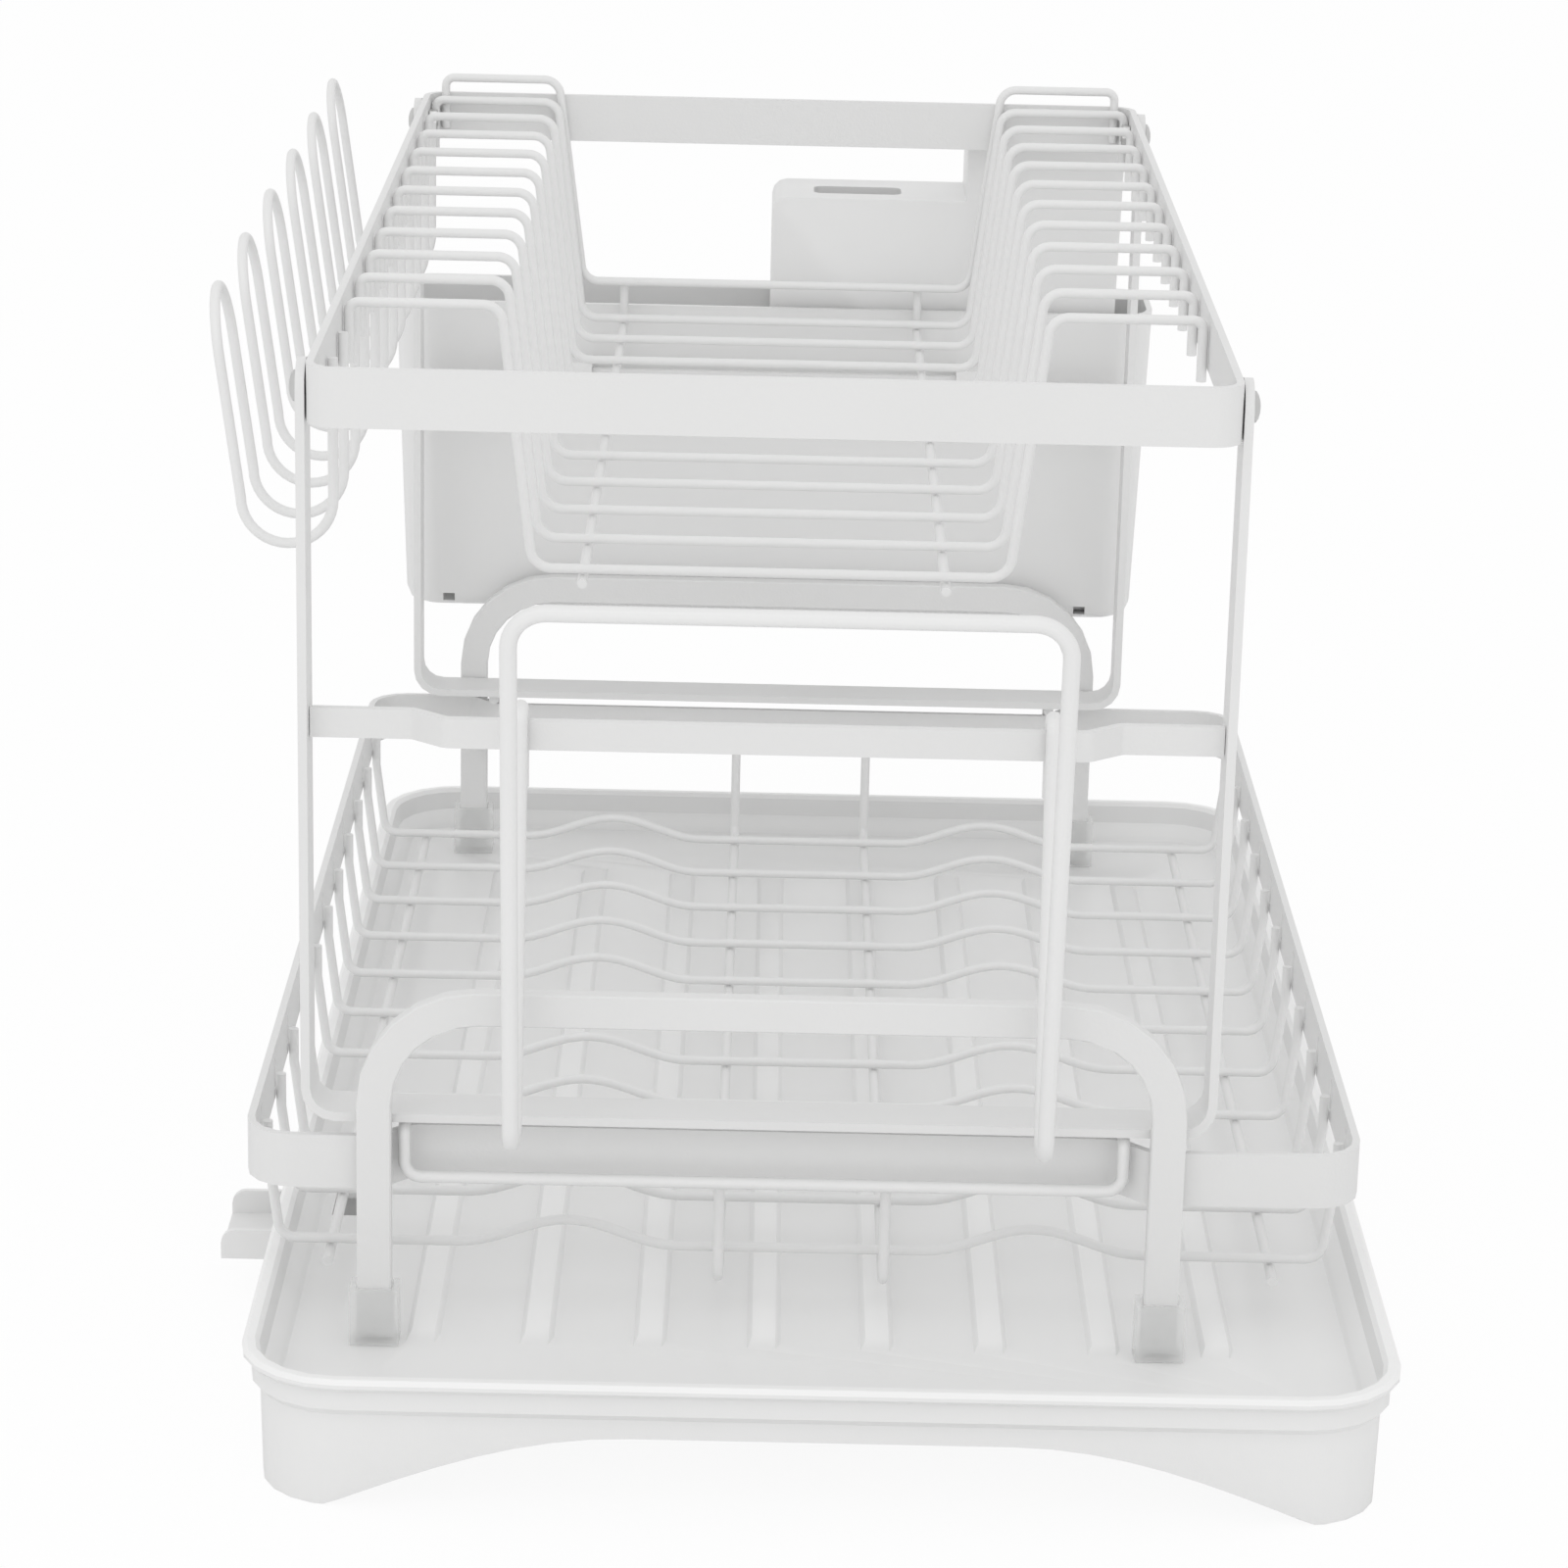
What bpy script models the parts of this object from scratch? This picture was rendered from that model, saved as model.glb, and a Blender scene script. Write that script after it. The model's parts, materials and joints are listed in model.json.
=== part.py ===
"""Two-tier dish rack: drip tray, lower basket on two arches, clip-on upper tier and its hung accessories.

Metres, +Z up, the table at z = 0. X runs across the rack and Y along it; the near end is at -Y.
Sizes inside a piece are measured from the middle of the lower basket, and one empty moves the whole
rack so that the world origin lies under the middle of its outer box.
"""
import math

import bmesh
import bpy
from mathutils import Vector

# Gaps and overruns
GAP = 0.0003
CUT_OVERRUN = 0.004
WELD_TOLERANCE = 0.00001

# Lower basket: a flat band with welded wires
BASKET_WIDTH = 0.300
BASKET_LENGTH = 0.412
BASKET_BAND_BOTTOM = 0.0681
BAND_HEIGHT = 0.0151
BAND_THICKNESS = 0.002
BASKET_CORNER = 0.012
RECESS_DEPTH = 0.009
RECESS_WIDTH_SHARE = 0.63
RECESS_SLOPE = 0.009
WIRE = 0.0028
CROSS_COUNT = 11
CROSS_PITCH = 0.0355
CROSS_FLOOR = 0.0413
CROSS_LEAN = 0.0031
CROSS_SHOULDER_HEIGHT = 0.066
CROSS_BEND = 0.005
HUMP_RISE = 0.007
HUMP_CENTRE_SHARE = 0.2133
HUMP_HALF_SHARE = 0.1
SLOT_WIDTH = 0.0036
SLOT_HEIGHT = 0.009
LONG_WIRE = 0.003
LONG_INNER_HALF = 0.0225
LONG_OUTER_INSET = 0.0138
LONG_OUTER_SETBACK = 0.0195
LONG_BEND = 0.004

# Carrying arches outside the end bands
ARCH_CENTRE = -0.0089
ARCH_WIDTH_SHARE = 0.7353
ARCH_TOP = 0.1261
ARCH_BAR = 0.0092
ARCH_DEPTH = 0.005
ARCH_CORNER = 0.032
CAP_WALL = 0.0017
CAP_HEIGHT = 0.016
CAP_FLOOR = 0.002

# Drip tray
TRAY_CENTRE_X = 0.0057
TRAY_CENTRE_Y = -0.0095
TRAY_SPREAD = 0.006
TRAY_RUN_PAST = 0.095
TRAY_CORNER = 0.027
TRAY_FLOOR = 0.0252
TRAY_WALL = 0.0022
RIM_TOP = 0.0378
RIM_OVERHANG = 0.0024
RIM_THICKNESS = 0.0034
RIM_ROUNDING = 0.0012
LEDGE_HEIGHT = 0.0298
LEDGE_WIDTH = 0.0044
SKIRT_INSET = 0.0046
SKIRT_DRAFT = 0.0006
FLOOR_FILLET = 0.001
TRAY_ARCH_INSET = 0.023
TRAY_ARCH_FLAT_SHARE = 0.327
TRAY_ARCH_TOP = 0.021
RIB_COUNT = 8
RIB_PITCH_SHARE = 0.1003
RIB_WIDTH = 0.009
RIB_RISE = 0.0022
RIB_SETBACK = 0.0535
RIB_SINK = 0.0004

# Drain spout under the tray floor
SPOUT_WIDTH = 0.031
SPOUT_CENTRE_Y = -0.1145
SPOUT_REACH = 0.018
SPOUT_LENGTH = 0.040
SPOUT_BOTTOM = 0.0138
SPOUT_TOP = 0.0226
SPOUT_WALL = 0.0018
SPOUT_ROUNDING = 0.004
DRAIN_LENGTH = 0.008
DRAIN_WIDTH = 0.018
DRAIN_INSET = 0.0042

# Upper tier
TIER_CENTRE = -0.0123
TIER_WIDTH = 0.2387
TIER_LENGTH = 0.423
TIER_BOTTOM = 0.278
TIER_BAND_HEIGHT = 0.0155
TIER_CORNER = 0.007
DISH_COUNT = 11
DISH_PITCH = 0.0327
DISH_FIRST_Y = -0.1225
DISH_FLOOR = 0.2185
DISH_FLOOR_SHARE = 0.2744
DISH_LEG_LEAN = 0.009
DISH_SHOULDER_BEND = 0.0055
DISH_FLOOR_BEND = 0.006
DISH_LEG_TAIL = 0.003
DISH_RAISE = 0.007
DISH_RAISED_FLOOR_RISE = 0.005
RUNNER_SHARES = (-0.2166, 0.2023)
RUNNER_NEAR_OVERHANG = 0.0045
RUNNER_BEND = 0.003
RUNNER_RISE = 0.0145

# Leg frames, crossbars and clip loops
STRIP_WIDTH = 0.015
STRIP_THICKNESS = 0.0024
STRIP_Y = 0.198
STRIP_CORNER = 0.008
SCREW_SHANK = 0.0036
SCREW_HOLE = 0.0042
SCREW_HEAD = 0.0088
SCREW_HEAD_RISE = 0.0019
NUT_WIDTH = 0.007
NUT_THICKNESS = 0.0024
CROSSBAR_BOTTOM = 0.1925
CROSSBAR_HEIGHT = 0.008
CROSSBAR_THICKNESS = 0.0024
CROSSBAR_INSET = 0.001
CROSSBAR_JOG = 0.0073
CROSSBAR_JOG_SHARE = 0.3875
CROSSBAR_JOG_SLOPE = 0.009
CLIP_CENTRE = -0.0107
CLIP_SPREAD = 0.0035
CLIP_WIRE = 0.0033
CLIP_DROP = 0.0142
CLIP_BEND = 0.0045
CLIP_TAIL = 0.010
CLIP_Y = 0.2037

# Chopping board holder
HOLDER_WIRE = 0.0044
HOLDER_X = (-0.0765, 0.062)
HOLDER_TAIL = 0.022
HOLDER_HOOK_CLEAR = 0.0005
HOLDER_HOOK_BEND = 0.0023
HOLDER_BACK_Y = -0.226
HOLDER_BACK_Z = 0.1025
HOLDER_U_WIDTH = 0.016
HOLDER_TOP_Y = -0.266
HOLDER_TOP_Z = 0.246
HOLDER_BAR_BEND = 0.0095

# Cup hooks along the left side
HOOK_COUNT = 6
HOOK_FIRST_Y = -0.1703
HOOK_HAIRPIN = 0.031
HOOK_ARC = 0.0122
HOOK_ARC_CENTRE_Z = 0.2489
HOOK_TOP_REACH = 0.0280
HOOK_TOP_Z = 0.302
HOOK_LEG_RISE = 0.009

# Utensil box and knife block behind the far end
BOX_LEFT = -0.143
BOX_RIGHT = 0.1176
BOX_NEAR_Y = 0.215
BOX_DEPTH = 0.046
BOX_BOTTOM = 0.1123
BOX_TOP = 0.221
BOX_WALL = 0.002
BOX_CORNER = 0.012
BOX_DRAFT = 0.0035
BOX_BOTTOM_ROUND = 0.005
BOX_NOTCH_X = (-0.124, 0.096)
BOX_NOTCH_WIDTH = 0.004
BOX_NOTCH_HEIGHT = 0.003
BOX_HOOK_SHARE = 0.298282
BOX_HOOK_WIDTH = 0.018
BOX_HOOK_THICKNESS = 0.0024
BOX_HOOK_LIP = 0.0055
BOX_HOOK_CLEAR = 0.0004
BLOCK_LEFT = -0.0143
BLOCK_STEP_X = 0.052
BLOCK_RIGHT = 0.1055
BLOCK_LOW_TOP = 0.2585
BLOCK_HIGH_TOP = 0.282
BLOCK_ROUND = 0.005
BLOCK_EDGE = 0.003
KNIFE_SLOT_X = (0.0, 0.030)
KNIFE_SLOT_WIDTH = 0.013
KNIFE_SLOT_ROUND = 0.003
KNIFE_SLOT_SETBACK = 0.015
KNIFE_SLOT_DEPTH = 0.120

# Counts that set smoothness
BEND_STEPS = 4
WIRE_BEND_STEPS = 2
HUMP_STEPS = 5
ARCH_STEPS = 6
CORNER_STEPS = 5
WIRE_ROUNDNESS = 1
ROUND_SIDES = 12
EDGE_BEVEL = 0.0004

# Worked out from the sizes above
BASKET_HALF_LENGTH = BASKET_LENGTH / 2
TRAY_WIDTH = BASKET_WIDTH + TRAY_SPREAD
TRAY_LENGTH = BASKET_LENGTH + TRAY_RUN_PAST
TIER_HALF_LENGTH = TIER_LENGTH / 2
BASKET_BAND_TOP = BASKET_BAND_BOTTOM + BAND_HEIGHT
TIER_TOP = TIER_BOTTOM + TIER_BAND_HEIGHT
PIVOT_Z = TIER_BOTTOM + TIER_BAND_HEIGHT / 2
CLIP_TAIL_Z = BASKET_BAND_TOP + GAP + CLIP_WIRE / 2
STRIP_BOTTOM = BASKET_BAND_TOP + CLIP_WIRE + 2 * GAP
STRIP_OUTER_HALF = TIER_WIDTH / 2 + GAP + STRIP_THICKNESS
STRIP_TOP = PIVOT_Z + STRIP_WIDTH / 2
CROSSBAR_TOP = CROSSBAR_BOTTOM + CROSSBAR_HEIGHT
CROSSBAR_Y = STRIP_Y + CROSSBAR_INSET
CROSSBAR_OUT_Y = CROSSBAR_Y + CROSSBAR_JOG
ARCH_Y = BASKET_HALF_LENGTH + GAP + ARCH_DEPTH / 2
FLOOR_UNDERSIDE = TRAY_FLOOR - TRAY_WALL
DISH_RAISED_Y = TIER_HALF_LENGTH - BAND_THICKNESS - GAP - WIRE / 2
DISH_END_X = TIER_WIDTH / 2 - BAND_THICKNESS - GAP - WIRE / 2
DISH_RAISED_END_X = TIER_WIDTH / 2 - TIER_CORNER
DISH_FLOOR_HALF = DISH_FLOOR_SHARE * TIER_WIDTH
DISH_SHOULDER_HALF = DISH_FLOOR_HALF + DISH_LEG_LEAN
RUNNER_Z = DISH_FLOOR - WIRE - GAP
RUNNER_FAR_Y = DISH_RAISED_Y + WIRE + GAP
CROSS_END_X = BASKET_WIDTH / 2 - BAND_THICKNESS - GAP - WIRE / 2
CROSS_FLOOR_HALF = CROSS_END_X - CROSS_LEAN
HUMP_CENTRE = HUMP_CENTRE_SHARE * BASKET_WIDTH
HUMP_HALF = HUMP_HALF_SHARE * BASKET_WIDTH
LONG_OUTER_HALF = CROSS_FLOOR_HALF - LONG_OUTER_INSET
LONG_OUTER_END = BASKET_HALF_LENGTH - LONG_OUTER_SETBACK
RECESS_WIDTH = RECESS_WIDTH_SHARE * BASKET_WIDTH
CLIP_WIDTH = RECESS_WIDTH + CLIP_SPREAD
ARCH_WIDTH = ARCH_WIDTH_SHARE * BASKET_WIDTH
LONG_WIRE_Z = CROSS_FLOOR - WIRE / 2 - GAP - LONG_WIRE / 2
BASKET_END_INNER = BASKET_HALF_LENGTH - BAND_THICKNESS - RECESS_DEPTH
HOLDER_FRONT = HOLDER_TOP_Y - HOLDER_WIRE / 2
TRAY_ARCH_HALF = TRAY_WIDTH / 2 - TRAY_ARCH_INSET
SPOUT_TIP = TRAY_CENTRE_X - TRAY_WIDTH / 2 - SPOUT_REACH
BOX_FAR_Y = BOX_NEAR_Y + BOX_DEPTH
BLOCK_DEPTH = BOX_DEPTH - 2 * (BOX_BOTTOM_ROUND + GAP)
RACK_X = -(SPOUT_TIP + TRAY_CENTRE_X + TRAY_WIDTH / 2) / 2
RACK_Y = -(HOLDER_FRONT + BOX_FAR_Y) / 2

# Finishes: colour, roughness, metallic
POWDER_WHITE = ((0.80, 0.80, 0.79), 0.45, 0.0)
PLASTIC_WHITE = ((0.82, 0.82, 0.81), 0.38, 0.0)
CLEAR_PLASTIC = ((0.78, 0.79, 0.79), 0.20, 0.0)
SCREW_STEEL = ((0.62, 0.62, 0.62), 0.32, 1.0)


def clear_scene():
    for item in list(bpy.data.objects):
        bpy.data.objects.remove(item, do_unlink=True)


def new_collection(name):
    collection = bpy.data.collections.new(name)
    bpy.context.scene.collection.children.link(collection)
    return collection


def new_material(name, finish):
    colour, roughness, metallic = finish
    material = bpy.data.materials.new(name)
    material.use_nodes = True
    shader = material.node_tree.nodes["Principled BSDF"]
    shader.inputs["Base Color"].default_value = (*colour, 1.0)
    shader.inputs["Roughness"].default_value = roughness
    shader.inputs["Metallic"].default_value = metallic
    return material


def add_object(name, data, finish, parent):
    """Links a piece to the rack with a material of its own."""
    piece = bpy.data.objects.new(name, data)
    data.materials.append(new_material(name, finish))
    rack_collection.objects.link(piece)
    piece.parent = parent
    return piece


def mirrored(points, axis=0):
    """Points of a half, followed by their mirror images in reverse order."""
    flipped = []
    for point in reversed(points):
        copy = Vector(point)
        copy[axis] = -copy[axis]
        flipped.append(copy)
    return [Vector(point) for point in points] + flipped


def rounded_path(points, radius, steps=BEND_STEPS, closed=False):
    """Replaces each corner of a polyline by an arc of the given radius (or one radius per corner)."""
    points = [Vector(point) for point in points]
    count = len(points)
    radii = radius if isinstance(radius, (list, tuple)) else [radius] * count
    path = []
    for index, corner in enumerate(points):
        if not closed and index in (0, count - 1):
            path.append(corner)
            continue
        before = (points[index - 1] - corner).normalized()
        after = (points[(index + 1) % count] - corner).normalized()
        half_angle = before.angle(after) / 2
        if radii[index] == 0 or abs(half_angle - math.pi / 2) < WELD_TOLERANCE:
            path.append(corner)
            continue
        bisector = (before + after).normalized()
        centre = corner + bisector * radii[index] / math.sin(half_angle)
        start = corner + before * radii[index] / math.tan(half_angle) - centre
        turn = math.pi - 2 * half_angle
        normal = start.cross(corner + after * radii[index] / math.tan(half_angle) - centre).normalized()
        side = normal.cross(start)
        for step in range(steps + 1):
            angle = turn * step / steps
            path.append(centre + start * math.cos(angle) + side * math.sin(angle))
    return path


def wire(name, points, diameter, finish, parent):
    """A bent wire or rod: a poly curve with a round bevel and filled ends."""
    curve = bpy.data.curves.new(name, "CURVE")
    curve.dimensions = "3D"
    curve.bevel_depth = diameter / 2
    curve.bevel_resolution = WIRE_ROUNDNESS
    curve.use_fill_caps = True
    spline = curve.splines.new("POLY")
    spline.points.add(len(points) - 1)
    for slot, point in zip(spline.points, points):
        slot.co = (*point, 1.0)
    return add_object(name, curve, finish, parent)


def flat_curve(name, outlines, thickness):
    """A flat outline in the curve's own XY plane, filled and thickened both ways."""
    curve = bpy.data.curves.new(name, "CURVE")
    curve.dimensions = "2D"
    curve.fill_mode = "BOTH"
    curve.extrude = thickness / 2
    for outline in outlines:
        spline = curve.splines.new("POLY")
        spline.points.add(len(outline) - 1)
        spline.use_cyclic_u = True
        for slot, point in zip(spline.points, outline):
            slot.co = (point[0], point[1], 0.0, 1.0)
    return curve


def curve_to_mesh(piece):
    """Turns a curve object into a welded mesh object with the same name and place."""
    graph = bpy.context.evaluated_depsgraph_get()
    mesh = bpy.data.meshes.new_from_object(piece.evaluated_get(graph))
    name = piece.name
    solid = bpy.data.objects.new(name, mesh)
    for collection in piece.users_collection:
        collection.objects.link(solid)
    solid.parent = piece.parent
    solid.location = piece.location
    solid.rotation_euler = piece.rotation_euler
    bpy.data.objects.remove(piece, do_unlink=True)
    solid.name = name
    work = bmesh.new()
    work.from_mesh(mesh)
    bmesh.ops.remove_doubles(work, verts=work.verts, dist=WELD_TOLERANCE)
    bmesh.ops.recalc_face_normals(work, faces=work.faces)
    work.to_mesh(mesh)
    work.free()
    return solid


def offset_path(points, distance, closed=False):
    """Moves a flat path sideways; positive is to the right of its direction."""
    moved = []
    count = len(points)
    for index, point in enumerate(points):
        before = points[index - 1] if closed or index else point
        after = points[(index + 1) % count] if closed or index < count - 1 else point
        into = Vector((point - before)[:2])
        out = Vector((after - point)[:2])
        if into.length == 0:
            into = out
        if out.length == 0:
            out = into
        into.normalize()
        out.normalize()
        normal = Vector((into.y + out.y, -into.x - out.x)).normalized()
        stretch = 1 / max(normal.dot(Vector((into.y, -into.x))), math.cos(math.pi / 3))
        moved.append(Vector((point.x + normal.x * distance * stretch,
                             point.y + normal.y * distance * stretch, 0.0)))
    return moved


def box_cutter(name, low, high):
    """A plain box between two corners, for cutting or joining."""
    mesh = bpy.data.meshes.new(name)
    work = bmesh.new()
    bmesh.ops.create_cube(work, size=1.0)
    size = [high[axis] - low[axis] for axis in range(3)]
    bmesh.ops.scale(work, vec=size, verts=work.verts)
    middle = [(high[axis] + low[axis]) / 2 for axis in range(3)]
    bmesh.ops.translate(work, vec=middle, verts=work.verts)
    work.to_mesh(mesh)
    work.free()
    return mesh


def add_cutter(name, mesh):
    cutter = bpy.data.objects.new(name, mesh)
    cutter_collection.objects.link(cutter)
    cutter.parent = rack
    cutter.hide_render = True
    cutter.display_type = "WIRE"
    return cutter


def combine(piece, tool, operation):
    modifier = piece.modifiers.new(tool.name, "BOOLEAN")
    modifier.operation = operation
    modifier.solver = "EXACT"
    modifier.object = tool
    return modifier


def joined_mesh(name, meshes):
    """One mesh of several separate solids."""
    work = bmesh.new()
    for mesh in meshes:
        work.from_mesh(mesh)
    joined = bpy.data.meshes.new(name)
    work.to_mesh(joined)
    work.free()
    for mesh in meshes:
        bpy.data.meshes.remove(mesh)
    return joined


def rounded_rectangle(width, length, radius, steps=CORNER_STEPS):
    """Corner points of a rounded rectangle about the origin, anticlockwise."""
    half_x = width / 2
    half_y = length / 2
    corners = [(half_x, -half_y, 0), (half_x, half_y, 0), (-half_x, half_y, 0), (-half_x, -half_y, 0)]
    return rounded_path(corners, radius, steps, closed=True)


def lofted_shell(name, sections):
    """A closed solid grown from ring to ring, each a list of points, with its first and last ring capped."""
    work = bmesh.new()
    first = [work.verts.new(point) for point in sections[0]]
    edges = [work.edges.new((first[index - 1], first[index])) for index in range(len(first))]
    last = first
    for section in sections[1:]:
        grown = bmesh.ops.extrude_edge_only(work, edges=edges)["geom"]
        fresh = {item for item in grown if isinstance(item, bmesh.types.BMVert)}
        edges = [item for item in grown
                 if isinstance(item, bmesh.types.BMEdge) and fresh.issuperset(item.verts)]
        following = []
        for old, point in zip(last, section):
            partner = next(edge.other_vert(old) for edge in old.link_edges if edge.other_vert(old) in fresh)
            partner.co = point
            following.append(partner)
        last = following
    work.faces.new(first)
    work.faces.new(last)
    bmesh.ops.recalc_face_normals(work, faces=work.faces)
    if work.calc_volume(signed=True) < 0:
        bmesh.ops.reverse_faces(work, faces=work.faces)
    mesh = bpy.data.meshes.new(name)
    work.to_mesh(mesh)
    work.free()
    return mesh


def ring(width, length, radius, inset, height, centre_x, centre_y):
    """A rounded rectangle, drawn in by an inset, at a height."""
    points = rounded_rectangle(width - 2 * inset, length - 2 * inset, radius - inset)
    return [(point.x + centre_x, point.y + centre_y, height) for point in points]


# Drip tray
def tray_section():
    """The wall's section: how far in from the rim's outer edge, and how high."""
    floor_inset = LEDGE_WIDTH + RIM_OVERHANG + TRAY_WALL
    return [
        (floor_inset + FLOOR_FILLET, TRAY_FLOOR),
        (floor_inset, TRAY_FLOOR + FLOOR_FILLET),
        (floor_inset - FLOOR_FILLET, LEDGE_HEIGHT - FLOOR_FILLET),
        (floor_inset - LEDGE_WIDTH + FLOOR_FILLET, LEDGE_HEIGHT + FLOOR_FILLET),
        (RIM_OVERHANG + TRAY_WALL, RIM_TOP - RIM_ROUNDING),
        (RIM_OVERHANG + TRAY_WALL - RIM_ROUNDING, RIM_TOP),
        (RIM_ROUNDING, RIM_TOP),
        (0.0, RIM_TOP - RIM_ROUNDING),
        (0.0, RIM_TOP - RIM_THICKNESS + RIM_ROUNDING),
        (RIM_ROUNDING, RIM_TOP - RIM_THICKNESS),
        (RIM_OVERHANG, RIM_TOP - RIM_THICKNESS),
        (RIM_OVERHANG, LEDGE_HEIGHT - RIM_ROUNDING),
        (SKIRT_INSET, LEDGE_HEIGHT - RIM_THICKNESS),
        (SKIRT_INSET + SKIRT_DRAFT, 0.0),
        (SKIRT_INSET + SKIRT_DRAFT + TRAY_WALL, 0.0),
        (SKIRT_INSET + TRAY_WALL, FLOOR_UNDERSIDE),
    ]


def skirt_arch_outline():
    """Half the arch cut out of each end of the skirt, from the table up to its flat top."""
    points = [Vector((TRAY_ARCH_HALF, -CUT_OVERRUN, 0)), Vector((TRAY_ARCH_HALF, 0, 0))]
    steps = 2 * BEND_STEPS
    for step in range(1, steps + 1):
        share = step / steps
        rise_share = math.sin(share * math.pi / 2)
        x = TRAY_ARCH_HALF + (TRAY_ARCH_FLAT_SHARE * TRAY_WIDTH / 2 - TRAY_ARCH_HALF) * share
        points.append(Vector((x, TRAY_ARCH_TOP * rise_share, 0)))
    return points


def rib_mesh(centre_x):
    """One low rounded floor rib with sloping ends."""
    half_length = TRAY_LENGTH / 2 - RIB_SETBACK
    sections = []
    slope = RIB_WIDTH / 2
    for y, rise_share in ((-half_length, 0.0), (-half_length + slope, 1.0),
                          (half_length - slope, 1.0), (half_length, 0.0)):
        section = []
        for step in range(BEND_STEPS + 1):
            angle = math.pi * step / BEND_STEPS
            section.append((centre_x + RIB_WIDTH / 2 * math.cos(angle), TRAY_CENTRE_Y + y,
                            TRAY_FLOOR + RIB_RISE * rise_share * math.sin(angle)))
        section.append((centre_x - RIB_WIDTH / 2, TRAY_CENTRE_Y + y, TRAY_FLOOR - RIB_SINK))
        section.append((centre_x + RIB_WIDTH / 2, TRAY_CENTRE_Y + y, TRAY_FLOOR - RIB_SINK))
        sections.append(section)
    return lofted_shell("rib", sections)


def build_tray():
    sections = [ring(TRAY_WIDTH, TRAY_LENGTH, TRAY_CORNER, inset, height, TRAY_CENTRE_X, TRAY_CENTRE_Y)
                for inset, height in tray_section()]
    tray = add_object("drain_tray", lofted_shell("drain_tray", sections), PLASTIC_WHITE, rack)

    rib_pitch = RIB_PITCH_SHARE * TRAY_WIDTH
    ribs = [rib_mesh(TRAY_CENTRE_X + (index - (RIB_COUNT - 1) / 2) * rib_pitch)
            for index in range(RIB_COUNT)]
    combine(tray, add_cutter("floor_ribs", joined_mesh("floor_ribs", ribs)), "UNION")

    outline = mirrored(skirt_arch_outline())
    cutter = bpy.data.objects.new("skirt_arch", flat_curve("skirt_arch", [outline],
                                                           TRAY_LENGTH + 2 * CUT_OVERRUN))
    cutter_collection.objects.link(cutter)
    cutter.parent = rack
    cutter.location = (TRAY_CENTRE_X, TRAY_CENTRE_Y, 0)
    cutter.rotation_euler = (math.pi / 2, 0, 0)
    cutter = curve_to_mesh(cutter)
    cutter.hide_render = True
    cutter.display_type = "WIRE"
    combine(tray, cutter, "DIFFERENCE")

    wall_outer = TRAY_CENTRE_X - TRAY_WIDTH / 2
    wall_inner = wall_outer + SKIRT_INSET + SKIRT_DRAFT + TRAY_WALL
    half_slot = SPOUT_WIDTH / 2 + GAP
    slot = box_cutter("spout_slot",
                      (wall_outer, SPOUT_CENTRE_Y - half_slot, SPOUT_BOTTOM - GAP),
                      (wall_inner + CUT_OVERRUN, SPOUT_CENTRE_Y + half_slot, FLOOR_UNDERSIDE))
    floor_edge = wall_outer + RIM_OVERHANG + LEDGE_WIDTH + TRAY_WALL + DRAIN_INSET
    drain = box_cutter("drain_slot",
                       (floor_edge, SPOUT_CENTRE_Y - DRAIN_WIDTH / 2, FLOOR_UNDERSIDE - CUT_OVERRUN),
                       (floor_edge + DRAIN_LENGTH, SPOUT_CENTRE_Y + DRAIN_WIDTH / 2,
                        TRAY_FLOOR + CUT_OVERRUN))
    combine(tray, add_cutter("spout_slot", slot), "DIFFERENCE")
    combine(tray, add_cutter("drain_slot", drain), "DIFFERENCE")


def build_spout():
    """An open channel that slides in a slot of the tray's left wall."""
    half_width = SPOUT_WIDTH / 2
    body = box_cutter("drain_spout", (0, -half_width, 0),
                      (SPOUT_LENGTH, half_width, SPOUT_TOP - SPOUT_BOTTOM))
    work = bmesh.new()
    work.from_mesh(body)
    corner = [edge for edge in work.edges
              if all(vert.co.x == 0 and vert.co.z > SPOUT_WALL for vert in edge.verts)]
    bmesh.ops.bevel(work, geom=corner, offset=SPOUT_ROUNDING, segments=BEND_STEPS, profile=0.5,
                    affect="EDGES")
    work.to_mesh(body)
    work.free()
    spout = add_object("drain_spout", body, PLASTIC_WHITE, rack)
    spout.location = (SPOUT_TIP, SPOUT_CENTRE_Y, SPOUT_BOTTOM)
    channel = box_cutter("spout_channel",
                         (SPOUT_TIP - CUT_OVERRUN, SPOUT_CENTRE_Y - half_width + SPOUT_WALL,
                          SPOUT_BOTTOM + SPOUT_WALL),
                         (SPOUT_TIP + SPOUT_LENGTH - SPOUT_WALL, SPOUT_CENTRE_Y + half_width - SPOUT_WALL,
                          SPOUT_TOP + CUT_OVERRUN))
    combine(spout, add_cutter("spout_channel", channel), "DIFFERENCE")


# Lower basket
def band(name, centre_line, height, bottom, finish):
    """A flat bar bent on edge round a closed path."""
    outer = offset_path(centre_line, BAND_THICKNESS / 2, closed=True)
    inner = offset_path(centre_line, -BAND_THICKNESS / 2, closed=True)
    piece = add_object(name, flat_curve(name, [outer, inner], height), finish, rack)
    piece.location = (0, 0, bottom + height / 2)
    return curve_to_mesh(piece)


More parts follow.
